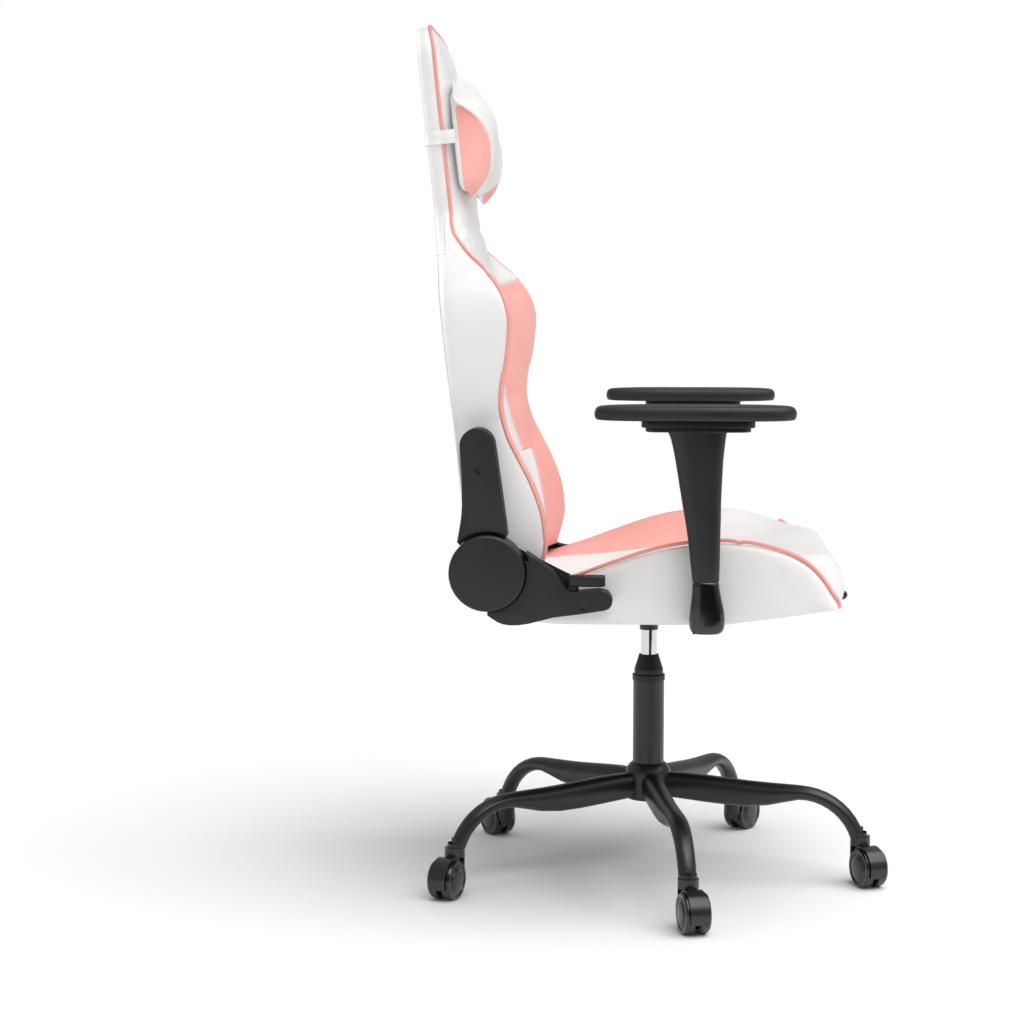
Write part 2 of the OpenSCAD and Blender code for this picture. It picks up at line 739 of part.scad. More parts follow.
module at_back() {
    translate([0, hinge_y, hinge_z]) rotate([-back_lean, 0, 0]) children();
}
module seat_brackets() {
    color(steel) for (side = sides) on_side(side) difference() {
        along_x(bracket_in, bracket_in + bracket_t) union() {
            hull() {
                translate([hinge_y, hinge_z]) circle(r = eye_r);
                translate([bracket_bolts[1], bracket_bolt_z]) circle(r = bolt_eye_r);
            }
            hull() {
                translate([bracket_bolts[1], bracket_bolt_z]) circle(r = bolt_eye_r);
                translate([seat_screw_y, seat_screw_z]) circle(r = tip_eye_r);
            }
        }
        bracket_bolt_holes();
        translate([0, hinge_y, hinge_z]) rotate([0, 90, 0]) cylinder(r = hinge_pin_r, h = cover_out);
        translate([0, lever_y, lever_pivot_z]) rotate([0, 90, 0])
            cylinder(r = lever_pin_r, h = cover_out);
        translate([0, seat_screw_y, seat_screw_z]) rotate([0, 90, 0])
            cylinder(r = screw_r, h = cover_out);
    }
}
module hinge_pins() {
    color("darkgray") {
        for (side = sides) on_side(side) translate([0, hinge_y, hinge_z]) rotate([0, 90, 0]) {
            translate([0, 0, bracket_in]) cylinder(r = hinge_pin_r, h = cover_in - bracket_in);
            translate([0, 0, cover_in]) cylinder(r = hinge_pin_r + 3, h = 4);
        }
        on_side(-1) translate([bracket_in, lever_y, lever_pivot_z]) rotate([0, 90, 0])
            cylinder(r = lever_pin_r, h = cover_out - cover_wall - bracket_in);
    }
}
module back_brackets() {
    color(steel) at_back() for (side = sides) on_side(side) difference() {
        along_x(back_bracket_in, back_bracket_in + bracket_t) hull() {
            circle(r = back_eye_r);
            translate([-1, back_bolts_z[1]]) circle(r = back_tip_r);
        }
        rotate([0, 90, 0]) cylinder(r = hinge_pin_r + run_fit, h = cover_out);
        back_bolt_holes();
        translate([0, back_screw_y, back_screw_z]) rotate([0, 90, 0])
            cylinder(r = screw_r, h = cover_out);
    }
}
module back_bolt_holes() {
    for (bolt_z = back_bolts_z) translate([0, frame_y, bolt_z]) rotate([0, 90, 0])
        difference() {
            cylinder(r = bolt_r + bolt_fit, h = 2 * cover_out, center = true);
            cylinder(r = 2 * bolt_r, h = 2 * (frame_x - frame_tube_r - cut), center = true);
        }
}
module back_bolts() {
    color("darkgray") at_back() for (side = sides) on_side(side) {
        for (bolt_z = back_bolts_z)
            translate([back_bracket_in + bracket_t, frame_y, bolt_z]) rotate([0, -90, 0])
                bolt(back_bracket_in + bracket_t - frame_x + frame_tube_r);
        translate([cover_out - screw_sink, back_screw_y, back_screw_z]) rotate([0, -90, 0]) {
            cylinder(r = screw_r, h = cover_out - screw_sink - back_bracket_in);
            cylinder(r = screw_head_r, h = screw_head_h);
        }
    }
}
// Side view of the lower cover, from the hinge axis. The lever's side stands higher.
module seat_cover_outline(side) {
    crest = side < 0 ? [[-30, 38], [-46, 25], [-79, 3], [-95, -20], [-108, -23], [-134, -20]]
        : [[-30, 38], [-41, 20], [-46, -16], [-62, -24], [-95, -29], [-134, -29]];
    translate([hinge_y, hinge_z]) polygon(concat([[0, 0]], crest,
        [[-148, -27], [-150, -34], [-146, -42], [-110, -49], [-79, -53],
        [-49, -61], [-27, -63], [-12, -59], [2, -50]]));
}
module seat_cover_disc() {
    translate([hinge_y, hinge_z]) circle(r = hinge_cap_r - side_gap);
}
// The arm passes close round the cap, and further off where the upper cover meets it.
module seat_cover_arm(side) {
    difference() {
        seat_cover_outline(side);
        translate([hinge_y, hinge_z]) circle(r = hinge_cap_r + lip_gap);
        intersection() {
            translate([hinge_y, hinge_z]) circle(r = hinge_cap_r + cap_gap);
            translate([hinge_y - 2 * hinge_cap_r, hinge_z + cap_parting])
                square(4 * hinge_cap_r);
        }
    }
}
module screw_post(length) {
    rotate([0, 90, 0]) cylinder(r = screw_head_r + 2, h = length);
}
module screw_way(length) {
    rotate([0, 90, 0]) {
        translate([0, 0, -cut]) cylinder(r = screw_r, h = length + 2 * cut);
        translate([0, 0, length - screw_sink - screw_head_h])
            cylinder(r = screw_head_r, h = screw_sink + screw_head_h + cut);
    }
}
module seat_cover(side) {
    color(plastic) on_side(side) difference() {
        union() {
            difference() {
                union() {
                    along_x(cover_in, cover_out) seat_cover_arm(side);
                    along_x(cover_in, cover_mid) union() {
                        seat_cover_outline(side);
                        seat_cover_disc();
                    }
                }
                along_x(cover_in - cut, cover_out - cover_wall)
                    offset(delta = -cover_wall) seat_cover_arm(side);
                along_x(cover_in - cut, cover_mid - cover_wall) offset(delta = -cover_wall) union() {
                    seat_cover_outline(side);
                    seat_cover_disc();
                }
            }
            translate([cover_in, seat_screw_y, seat_screw_z]) screw_post(cover_depth);
        }
        translate([cover_in, seat_screw_y, seat_screw_z]) screw_way(cover_depth);
        if (side < 0) recline_lever_window();
    }
}
// Side view of the upper cover, from the hinge axis along the backrest.
module back_cover_outline() {
    union() {
        hull() {
            translate([-4, cover_tip - 21]) circle(r = 21);
            translate([-3, 88]) circle(r = 23.5);
        }
        polygon([[-26.5, 88], [-27.5, 52], [-29, 34], [-29, 18], [36, 18], [34, 34],
            [30, 50], [24, 70], [20.5, 88]]);
    }
}
module back_cover_arm() {
    difference() {
        back_cover_outline();
        circle(r = hinge_cap_r + cap_gap);
    }
}
module back_cover(side) {
    color(plastic) at_back() on_side(side) difference() {
        union() {
            difference() {
                along_x(cover_in, cover_out) back_cover_arm();
                along_x(cover_in - cut, cover_out - cover_wall)
                    offset(delta = -cover_wall) back_cover_arm();
            }
            along_x(cover_mid + side_gap, cover_mid + side_gap + cover_disc_t) union() {
                circle(r = hinge_cap_r - side_gap);
                back_cover_outline();
            }
            translate([cover_in, back_screw_y, back_screw_z]) screw_post(cover_depth);
        }
        translate([cover_in, back_screw_y, back_screw_z]) screw_way(cover_depth);
    }
}
module hinge_caps() {
    color(plastic) at_back() for (side = sides) on_side(side)
        translate([cover_mid + side_gap + cover_disc_t, 0, 0]) rotate([0, 90, 0])
            rotate_extrude($fn = 96) polygon([[0, 0], [hinge_cap_r, 0],
                [hinge_cap_r, cap_rise - 3], [hinge_cap_r - 3, cap_rise], [0, cap_rise]]);
}
cap_rise = cover_out + hinge_cap_t - cover_mid - side_gap - cover_disc_t;

// --- Levers ---
grip_r = 6.5;
grip_length = 36;
grip_wall = 6;
crank_start = 228;
end_length = lift_lever_length - lift_pivot - crank_start;
recline_in = cover_in + 8;
recline_w = 17;
grip_z = 417;
grip_h = 14;
grip_back = 94;

module lift_lever_frame() {
    lever_frame() translate([lift_pivot, 0, lever_z]) rotate([0, lever_droop, 0]) children();
}
module lift_end_frame() {
    lift_lever_frame() translate([crank_start, 0, 0]) rotate([0, -lever_crank, 0]) children();
}
module lift_lever() {
    color(steel) difference() {
        union() {
            lift_lever_frame() translate([-lift_pivot - lever_r, 0, 0]) rotate([0, 90, 0])
                cylinder(r = lever_r, h = lift_pivot + lever_r + crank_start);
            lift_end_frame() sphere(r = lever_r);
            lift_end_frame() rotate([0, 90, 0])
                cylinder(r = lever_r, h = end_length - grip_wall);
        }
        lever_pin(pivot_pin_r + run_fit, 4 * lever_r);
    }
}
module lift_grip() {
    color(plastic) difference() {
        lift_end_frame() translate([end_length - grip_length, 0, 0]) rotate([0, 90, 0])
            rotate_extrude() polygon([[0, 0], [grip_r - 2, 0], [grip_r, 2],
                [grip_r, grip_length - 5], [grip_r - 1.5, grip_length - 2],
                [grip_r - 4, grip_length], [0, grip_length]]);
        lift_end_frame() rotate([0, 90, 0])
            cylinder(r = lever_r, h = end_length - grip_wall);
    }
}
// Room in the lower cover for the lever's arm over its whole swing.
module recline_lever_window() {
    translate([recline_in - 2, lever_y - 16, lever_pivot_z + 2])
        cube([recline_w + 4, 30, 60]);
    translate([recline_in - 2, 0, lever_pivot_z]) rotate([0, 90, 0])
        translate([0, lever_y, 0]) cylinder(r = 11, h = recline_w + 4);
}
module recline_lever() {
    color(plastic) on_side(-1) difference() {
        along_x(recline_in, recline_in + recline_w) union() {
            translate([lever_y, lever_pivot_z]) circle(r = 8);
            polygon([[lever_y - 8, lever_pivot_z], [lever_y + 5, lever_pivot_z],
                [grip_back, grip_z + 3], [grip_back - 10, grip_z + 3]]);
            translate([grip_back - recline_grip, grip_z]) square([recline_grip, grip_h]);
        }
        translate([0, lever_y, lever_pivot_z]) rotate([0, 90, 0])
            cylinder(r = lever_pin_r + run_fit, h = cover_out);
    }
}

// --- Backrest ---
waist_half = seat_half_w - side_gap;
waist_reach = 35;
wing_root = 138;
wing_crest = seat_half_w - 45;
head_start = 425;
head_front = 7;
frame_wall = 1.5;
frame_low = 25;
frame_high = 330;
head_frame_x = 90;
head_frame_y = 14;
head_frame_r = 7;
head_frame_top = back_length - 49;
strap_rise = 67;

module tube(start, length, radius, turn) {
    translate(start) rotate(turn) cylinder(r = radius, h = length);
}
module frame_tubes(shrink) {
    for (side = sides) {
        tube([side * frame_x, frame_y, frame_low - frame_tube_r], frame_high - frame_low
            + 2 * frame_tube_r, frame_tube_r - shrink, [0, 0, 0]);
        tube([side * head_frame_x, head_frame_y, frame_high], head_frame_top - frame_high
            + head_frame_r, head_frame_r - shrink, [0, 0, 0]);
    }
    for (bar_z = [frame_low, frame_high])
        tube([-frame_x, frame_y, bar_z], 2 * frame_x, frame_tube_r - shrink, [0, 90, 0]);
    tube([-head_frame_x, head_frame_y, head_frame_top], 2 * head_frame_x,
        head_frame_r - shrink, [0, 90, 0]);
}
module back_frame() {
    color(steel) at_back() difference() {
        frame_tubes(0);
        frame_tubes(frame_wall);
        back_bolt_holes();
    }
}
// Leading edge of the wings, seen from the side, from the hips to the head.
wing_line = smooth([[-hip_reach + 14, back_low], [-hip_reach + 3, 10],
    [-hip_reach, 40], [-hip_reach + 10, 95],
    [-waist_reach - 10, 140], [-waist_reach, 190], [-wing_reach + 8, 250],
    [-wing_reach, 300], [-wing_reach + 6, 335], [-28, 365], [-2, 395], [12, head_start]], 5);
panel_back_line = smooth([[-back_hip_panel, back_low], [-back_hip_panel, 25],
    [-back_hip_panel + 6, 70], [-back_hip_panel + 13, 118], [-back_panel - 4, 160],
    [-back_panel + 2, 206], [-back_panel, 300], [-back_panel + 2, 350], [-head_front - 4, 400],
    [-head_front, 450]], 5);
head_line = smooth([[-head_front, 590], [0, 640], [12, back_length - 2], [20, back_length],
    [head_rear - 2, back_length - 12]], 5);
half_outline = smooth([[waist_half - 3, back_low], [waist_half - 1, 20], [waist_half - 1, 175],
    [shoulder_half - 10, 235], [shoulder_half, 300], [shoulder_half - 12, 345],
    [head_half + 73, 384], [head_half + 26, 412], [head_half - 6, 445], [head_half - 4, 500],
    [head_half, 580], [head_half - 4, back_length - 39], [head_half - 18, back_length - 16],
    [head_half - 50, back_length - 4], [0, back_length]], 4);

module back_outline() {
    rotate([90, 0, 0]) linear_extrude(height = 4 * hip_reach, center = true)
        polygon(concat(half_outline, flip(half_outline)));
}
module wing_section() {
    for (side = sides) linear_extrude(height = 2 * head_start, center = true)
        polygon([[side * wing_root, head_rear + 2], [side * wing_root, -back_panel + 2],
            [side * wing_crest, -hip_reach - 10], [side * 2 * shoulder_half, -hip_reach - 10],
            [side * 2 * shoulder_half, head_rear + 2]]);
}
module back_cushion() {
    color(white_leather) at_back() difference() {
        intersection() {
            back_outline();
            union() {
                along_x(-shoulder_half, shoulder_half)
                    polygon(concat(panel_back_line, head_line, [[head_rear, 560],
                        [head_rear, head_start], [back_rear, 375], [back_rear, back_low]]));
                intersection() {
                    along_x(-shoulder_half, shoulder_half)
                        polygon(concat(wing_line, [[head_rear, head_start], [back_rear, 375],
                            [back_rear, back_low]]));
                    wing_section();
                }
            }
        }
        frame_tubes(0);
        back_bolt_holes();
    }
}
module head_pillow() {
    pillow_front = -head_front - pillow_depth;
    color(pink_leather) at_back() along_x(-pillow_half, pillow_half)
        polygon(concat([[-head_front, pillow_low + 4]],
            smooth([[-head_front - 10, pillow_low], [-head_front - 30, pillow_low + 14],
                [pillow_front, pillow_low + 55], [pillow_front + 2, pillow_low + 88],
                [pillow_front + 12, pillow_high - 30], [-head_front - 8, pillow_high]], 5),
            [[-head_front, pillow_high - 2]]));
}
module pillow_strap() {
    strap_x = head_half + side_gap;
    strap_y = head_rear + side_gap;
    color(white_leather) at_back() translate([0, 0, pillow_low + strap_rise]) difference() {
        translate([-strap_x - strap_t, -head_front, 0])
            cube([2 * (strap_x + strap_t), strap_y + strap_t + head_front, strap_w]);
        translate([-strap_x, -head_front - cut, -cut])
            cube([2 * strap_x, strap_y + head_front + cut, strap_w + 2 * cut]);
    }
}

base_hub();
leg(1);  // leg_1
leg(2);  // leg_2
leg(3);  // leg_3
leg(4);  // leg_4
leg(5);  // leg_5
column_tube();
dust_cap();
guide_bush();
thrust_bearing();
piston_rod();
caster_hood(1);  // caster_hood_1
caster_hood(2);  // caster_hood_2
caster_hood(3);  // caster_hood_3
caster_hood(4);  // caster_hood_4
caster_hood(5);  // caster_hood_5
caster_pins(1);  // caster_pins_1
caster_pins(2);  // caster_pins_2
caster_pins(3);  // caster_pins_3
caster_pins(4);  // caster_pins_4
caster_pins(5);  // caster_pins_5
wheel(1, 1);  // wheel_left_1
wheel(2, 1);  // wheel_left_2
wheel(3, 1);  // wheel_left_3
wheel(4, 1);  // wheel_left_4
wheel(5, 1);  // wheel_left_5
wheel(1, -1);  // wheel_right_1
wheel(2, -1);  // wheel_right_2
wheel(3, -1);  // wheel_right_3
wheel(4, -1);  // wheel_right_4
wheel(5, -1);  // wheel_right_5
gas_cylinder();
seat_plate();
seat_pan();
seat_cushion();
seat_bolts();
arm_bars();
arm_feet();
arm_post(1);  // arm_post_left
arm_post(-1);  // arm_post_right
pad_plates();
armpad(1);  // armpad_left
armpad(-1);  // armpad_right
seat_brackets();
seat_cover(1);  // seat_cover_left
seat_cover(-1);  // seat_cover_right
hinge_pins();
lift_lever();
lift_grip();
release_pin();
recline_lever();
back_frame();
back_cushion();
head_pillow();
pillow_strap();
back_brackets();
back_cover(1);  // back_cover_left
back_cover(-1);  // back_cover_right
hinge_caps();
back_bolts();
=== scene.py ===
import bpy
import math
import numpy as np
from mathutils import Matrix, Vector


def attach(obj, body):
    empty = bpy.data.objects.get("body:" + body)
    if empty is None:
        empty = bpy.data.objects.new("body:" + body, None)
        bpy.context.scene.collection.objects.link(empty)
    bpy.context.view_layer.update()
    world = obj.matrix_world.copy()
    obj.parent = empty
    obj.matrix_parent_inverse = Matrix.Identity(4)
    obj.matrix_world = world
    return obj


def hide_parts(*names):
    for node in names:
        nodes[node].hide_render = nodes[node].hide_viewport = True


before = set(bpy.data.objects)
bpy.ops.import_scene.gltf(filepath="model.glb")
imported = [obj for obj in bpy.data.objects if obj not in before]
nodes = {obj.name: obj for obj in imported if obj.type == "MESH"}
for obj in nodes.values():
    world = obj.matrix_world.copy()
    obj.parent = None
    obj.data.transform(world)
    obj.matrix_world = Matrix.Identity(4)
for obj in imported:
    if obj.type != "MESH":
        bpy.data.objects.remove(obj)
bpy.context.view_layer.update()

bpy.ops.object.select_all(action="DESELECT")
mm = 0.001

chair = {
    "hingeY": 192, "hingeZ": 434,   # recline axis, mm
    "lean": math.radians(6),
}


def backToChair(x, y, z):  # mm along the leaning backrest to metres in the chair
    c, s = math.cos(chair["lean"]), math.sin(chair["lean"])
    return Vector((x, chair["hingeY"] + y * c + z * s, chair["hingeZ"] - y * s + z * c)) * mm


def inChair(x, y, z):
    return Vector((x, y, z)) * mm


# sRGB hex to linear
def linear(hexColor):
    out = []
    for k in (1, 3, 5):
        v = int(hexColor[k:k + 2], 16) / 255
        out.append(v / 12.92 if v <= 0.04045 else ((v + 0.055) / 1.055) ** 2.4)
    return (*out, 1.0)


def addNode(tree, kind, links=None, values=None, **settings):
    node = tree.nodes.new("ShaderNode" + kind)
    for key, value in settings.items():
        setattr(node, key, value)
    for key, value in (values or {}).items():
        node.inputs[key].default_value = value
    for key, source in (links or {}).items():
        tree.links.new(source, node.inputs[key])
    return node


def newMaterial(name, color, roughness, metallic=0.0, ior=1.5, coat=0.0, coatRoughness=0.1):
    mat = bpy.data.materials.new(name)
    mat.use_nodes = True
    tree = mat.node_tree
    shader = tree.nodes["Principled BSDF"]
    shader.inputs["Base Color"].default_value = linear(color)
    shader.inputs["Roughness"].default_value = roughness
    shader.inputs["Metallic"].default_value = metallic
    shader.inputs["IOR"].default_value = ior
    shader.inputs["Coat Weight"].default_value = coat
    shader.inputs["Coat Roughness"].default_value = coatRoughness
    mat.diffuse_color = linear(color)
    return mat, tree, shader


def tint(tree, shader, coords, light, dark, scale, detail=4):
    cloud = addNode(tree, "TexNoise", {"Vector": coords}, {"Scale": scale, "Detail": detail})
    ramp = addNode(tree, "ValToRGB", {"Fac": cloud.outputs["Fac"]})
    ramp.color_ramp.elements[0].position = 0.32
    ramp.color_ramp.elements[1].position = 0.68
    ramp.color_ramp.elements[0].color = linear(dark)
    ramp.color_ramp.elements[1].color = linear(light)
    tree.links.new(ramp.outputs["Color"], shader.inputs["Base Color"])
    return cloud


def roughBetween(tree, shader, source, low, high):
    span = addNode(tree, "MapRange", {"Value": source},
                   {"From Min": 0.3, "From Max": 0.7, "To Min": low, "To Max": high})
    tree.links.new(span.outputs["Result"], shader.inputs["Roughness"])


def coatedLeather(name, light, dark, roughLow=0.40, roughHigh=0.52):
    # PU-coated cloth: pressed pebble grain about 1.1 mm across with fine pores, a soft even sheen
    mat, tree, shader = newMaterial(name, light, 0.45, ior=1.48, coat=0.08, coatRoughness=0.35)
    coords = addNode(tree, "TexCoord").outputs["Object"]
    cloud = tint(tree, shader, coords, light, dark, 9)
    roughBetween(tree, shader, cloud.outputs["Fac"], roughLow, roughHigh)
    wobble = addNode(tree, "TexNoise", {"Vector": coords}, {"Scale": 260.0, "Detail": 2.0})
    mixed = addNode(tree, "MixRGB", {"Color1": coords, "Color2": wobble.outputs["Color"]},
                    {"Fac": 0.0012}, blend_type="ADD")
    pebble = addNode(tree, "TexVoronoi", {"Vector": mixed.outputs["Color"]},
                     {"Scale": 1 / (1.6 * mm)}, feature="SMOOTH_F1")
    pore = addNode(tree, "TexNoise", {"Vector": coords}, {"Scale": 1 / (0.7 * mm), "Detail": 3.0})
    creases = addNode(tree, "TexNoise", {"Vector": coords}, {"Scale": 26.0, "Detail": 5.0,
                                                             "Distortion": 0.6})
    grain = addNode(tree, "Math", {0: pebble.outputs["Distance"], 1: pore.outputs["Fac"]},
                    operation="MULTIPLY_ADD")
    grain.inputs[2].default_value = 0.0
    bump = addNode(tree, "Bump", {"Height": grain.outputs["Value"]},
                   {"Strength": 0.28, "Distance": 0.00025})
    soft = addNode(tree, "Bump", {"Height": creases.outputs["Fac"],
                                  "Normal": bump.outputs["Normal"]},
                   {"Strength": 0.10, "Distance": 0.004})
    tree.links.new(soft.outputs["Normal"], shader.inputs["Normal"])
    return mat


def mouldedPlastic(name, light, dark, roughLow, roughHigh, grainSize=0.6, grainDepth=0.14,
                   coat=0.0):
    # moulded plastic: a fine spark-eroded grain, tone varying at random in soft patches
    mat, tree, shader = newMaterial(name, light, roughLow, ior=1.5, coat=coat,
                                    coatRoughness=0.12)
    coords = addNode(tree, "TexCoord").outputs["Object"]
    cloud = tint(tree, shader, coords, light, dark, 14)
    roughBetween(tree, shader, cloud.outputs["Fac"], roughLow, roughHigh)
    grain = addNode(tree, "TexNoise", {"Vector": coords},
                    {"Scale": 1 / (grainSize * mm), "Detail": 2.0})
    bump = addNode(tree, "Bump", {"Height": grain.outputs["Fac"]},
                   {"Strength": grainDepth, "Distance": 0.0002})
    tree.links.new(bump.outputs["Normal"], shader.inputs["Normal"])
    return mat


def powderCoat(name, light, dark):
    # baked powder coat: orange peel about 1.5 mm across over smooth steel
    mat, tree, shader = newMaterial(name, light, 0.35, ior=1.5, coat=0.25, coatRoughness=0.3)
    coords = addNode(tree, "TexCoord").outputs["Object"]
    cloud = tint(tree, shader, coords, light, dark, 11)
    roughBetween(tree, shader, cloud.outputs["Fac"], 0.33, 0.44)
    peel = addNode(tree, "TexNoise", {"Vector": coords}, {"Scale": 1 / (1.5 * mm), "Detail": 1.5})
    bump = addNode(tree, "Bump", {"Height": peel.outputs["Fac"]},
                   {"Strength": 0.10, "Distance": 0.0004})
    tree.links.new(bump.outputs["Normal"], shader.inputs["Normal"])
    return mat


def brightMetal(name, light, dark, roughLow, roughHigh, lineScale=900.0):
    # turned and plated steel: faint rings round the axis
    mat, tree, shader = newMaterial(name, light, roughLow, metallic=1.0)
    coords = addNode(tree, "TexCoord").outputs["Object"]
    stretch = addNode(tree, "Mapping", {"Vector": coords}, {"Scale": (0.06, 0.06, 1.0)})
    rings = addNode(tree, "TexNoise", {"Vector": stretch.outputs["Vector"]},
                    {"Scale": lineScale, "Detail": 3.0})
    tint(tree, shader, coords, light, dark, 30)
    roughBetween(tree, shader, rings.outputs["Fac"], roughLow, roughHigh)
    bump = addNode(tree, "Bump", {"Height": rings.outputs["Fac"]},
                   {"Strength": 0.05, "Distance": 0.0001})
    tree.links.new(bump.outputs["Normal"], shader.inputs["Normal"])
    return mat


def wovenElastic(name, light, dark):
    # woven elastic: ribs across the band about 1.4 mm apart, threads along it
    mat, tree, shader = newMaterial(name, light, 0.75, ior=1.5)
    coords = addNode(tree, "TexCoord").outputs["UV"]
    ribs = addNode(tree, "TexWave", {"Vector": coords}, {"Scale": 1 / (1.4 * mm) / 6.283 * 1.0,
                   "Distortion": 0.4, "Detail": 1.0}, bands_direction="X")
    threads = addNode(tree, "TexWave", {"Vector": coords}, {"Scale": 1 / (1.0 * mm) / 6.283,
                      "Distortion": 0.2}, bands_direction="Y")
    weave = addNode(tree, "Math", {0: ribs.outputs["Fac"], 1: threads.outputs["Fac"]},
                    operation="MULTIPLY")
    tint(tree, shader, coords, light, dark, 60)
    bump = addNode(tree, "Bump", {"Height": weave.outputs["Value"]},
                   {"Strength": 0.5, "Distance": 0.0004})
    tree.links.new(bump.outputs["Normal"], shader.inputs["Normal"])
    return mat


whiteLeather = coatedLeather("whiteCoatedLeather", "#ebeae9", "#e4e3e2")
pinkLeather = coatedLeather("pinkCoatedLeather", "#f4b0a8", "#efa69d")
pinkPiping = coatedLeather("pinkPipingLeather", "#f2a79e", "#ea9a91", 0.36, 0.46)
underCloth = coatedLeather("undersideCloth", "#26282a", "#1d1e20", 0.7, 0.85)
blackOxide = powderCoat("blackOxideSteel", "#070808", "#040505")
stitchThread = coatedLeather("stitchThread", "#f0efee", "#e2e0de", 0.6, 0.7)
satinPlastic = mouldedPlastic("satinNylon", "#171918", "#131514", 0.38, 0.5)
coverPlastic = mouldedPlastic("grainedAbs", "#1a1d1c", "#161918", 0.42, 0.55, 0.8, 0.2)
glossPlastic = mouldedPlastic("polishedNylon", "#0e0f0f", "#0a0b0b", 0.16, 0.26, 1.2, 0.03, 0.4)
casterPlastic = mouldedPlastic("casterNylon", "#1b1e1d", "#161918", 0.22, 0.34, 1.0, 0.05, 0.2)
armPolyurethane = mouldedPlastic("softArmPolyurethane", "#171918", "#131514", 0.44, 0.56, 1.1, 0.25)
blackPowder = powderCoat("blackPowderCoat", "#121413", "#0e100f")
mattSteel = powderCoat("mattBlackSteel", "#1c1e1e", "#161818")
chromePlate = brightMetal("chromePlate", "#d9dbdc", "#cfd1d2", 0.05, 0.10)
zincSteel = brightMetal("blackZinc", "#4a4c4d", "#3b3d3e", 0.28, 0.4)
strapElastic = wovenElastic("whiteElastic", "#f6f6f5", "#e9e8e6")
print("materials ready")


def deselect():
    if bpy.context.object and bpy.context.object.mode != "OBJECT":
        bpy.ops.object.mode_set(mode="OBJECT")
    bpy.ops.object.select_all(action="DESELECT")


def activate(obj):
    deselect()
    obj.select_set(True)
    bpy.context.view_layer.objects.active = obj


def settle(obj, angle=35):  # object to the origin, place in the mesh, smooth shading
    activate(obj)
    bpy.ops.object.transform_apply(location=True, rotation=True, scale=True)
    bpy.ops.object.shade_smooth_by_angle(angle=math.radians(angle))
    return obj


def addModifier(obj, kind, **settings):
    mod = obj.modifiers.new(kind.title(), kind)
    for key, value in settings.items():
        setattr(mod, key, value)
    activate(obj)
    bpy.ops.object.modifier_apply(modifier=mod.name)


def subdivide(obj, levels):
    addModifier(obj, "SUBSURF", levels=levels, render_levels=levels)


def recalcNormals(obj, inside=False):
    activate(obj)
    bpy.ops.object.mode_set(mode="EDIT")
    bpy.ops.mesh.select_all(action="SELECT")
    bpy.ops.mesh.remove_doubles(threshold=0.000005)
    bpy.ops.mesh.normals_make_consistent(inside=inside)
    bpy.ops.object.mode_set(mode="OBJECT")


def finishPiece(obj, name, body, material, stands=(), angle=35):
    obj.name = name
    obj.data.name = name
    if material:
        obj.data.materials.clear()
        obj.data.materials.append(material)
    settle(obj, angle)
    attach(obj, body)
    if stands:
        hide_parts(*stands)
    deselect()
    return obj


def meshFrom(name, points, faces):
    mesh = bpy.data.meshes.new(name)
    mesh.from_pydata([tuple(p) for p in points], [], faces)
    mesh.update()
    obj = bpy.data.objects.new(name, mesh)
    bpy.context.scene.collection.objects.link(obj)
    return obj


def hermite(table, x):  # smooth line through (x, y) pairs
    if x <= table[0][0]:
        return table[0][1]
    if x >= table[-1][0]:
        return table[-1][1]
    k = max(i for i in range(len(table) - 1) if table[i][0] <= x)
    def slope(i):
        if i == 0 or i == len(table) - 1:
            a, b = (0, 1) if i == 0 else (-2, -1)
            return (table[b][1] - table[a][1]) / (table[b][0] - table[a][0])
        before = (table[i][1] - table[i - 1][1]) / (table[i][0] - table[i - 1][0])
        after = (table[i + 1][1] - table[i][1]) / (table[i + 1][0] - table[i][0])
        return 0 if before * after <= 0 else 2 * before * after / (before + after)
    h = table[k + 1][0] - table[k][0]
    t = (x - table[k][0]) / h
    return ((2 * t ** 3 - 3 * t ** 2 + 1) * table[k][1] + (t ** 3 - 2 * t ** 2 + t) * h * slope(k)
            + (-2 * t ** 3 + 3 * t ** 2) * table[k + 1][1] + (t ** 3 - t ** 2) * h * slope(k + 1))


def splinePath(points, count):  # evenly numbered points on a smooth curve through the given ones
    pts = [np.array(p, float) for p in points]
    out = []
    last = len(pts) - 1
    for j in range(count):
        u = j / (count - 1) * last
        i = min(int(u), last - 1)
        t = u - i
        a, b = pts[max(i - 1, 0)], pts[i]
        c, d = pts[i + 1], pts[min(i + 2, last)]
        out.append(0.5 * ((2 * b) + (c - a) * t + (2 * a - 5 * b + 4 * c - d) * t * t
                          + (3 * b - a - 3 * c + d) * t ** 3))
    return out


def evenPath(points, step):  # points spaced evenly along a path
    pts = np.array([tuple(p) for p in points], float)
    gaps = np.linalg.norm(np.diff(pts, axis=0), axis=1)
    along = np.concatenate([[0], np.cumsum(gaps)])
    count = max(2, int(round(along[-1] / step)) + 1)
    marks = np.linspace(0, along[-1], count)
    return [Vector([np.interp(m, along, pts[:, k]) for k in range(3)]) for m in marks]


def pipeAlong(name, paths, radius, body, material, sides=10, closed=False):  # paths in metres
    curve = bpy.data.curves.new(name, "CURVE")
    curve.dimensions = "3D"
    curve.bevel_depth = radius
    curve.bevel_resolution = max(1, sides // 4)
    curve.use_fill_caps = True
    for path in paths:
        line = curve.splines.new("POLY")
        line.points.add(len(path) - 1)
        for point, at in zip(line.points, path):
            point.co = (*at, 1.0)
        line.use_cyclic_u = closed
    obj = bpy.data.objects.new(name, curve)
    bpy.context.scene.collection.objects.link(obj)
    activate(obj)
    bpy.ops.object.convert(target="MESH")
    obj = bpy.context.object
    recalcNormals(obj)
    return finishPiece(obj, name, body, material, angle=60)


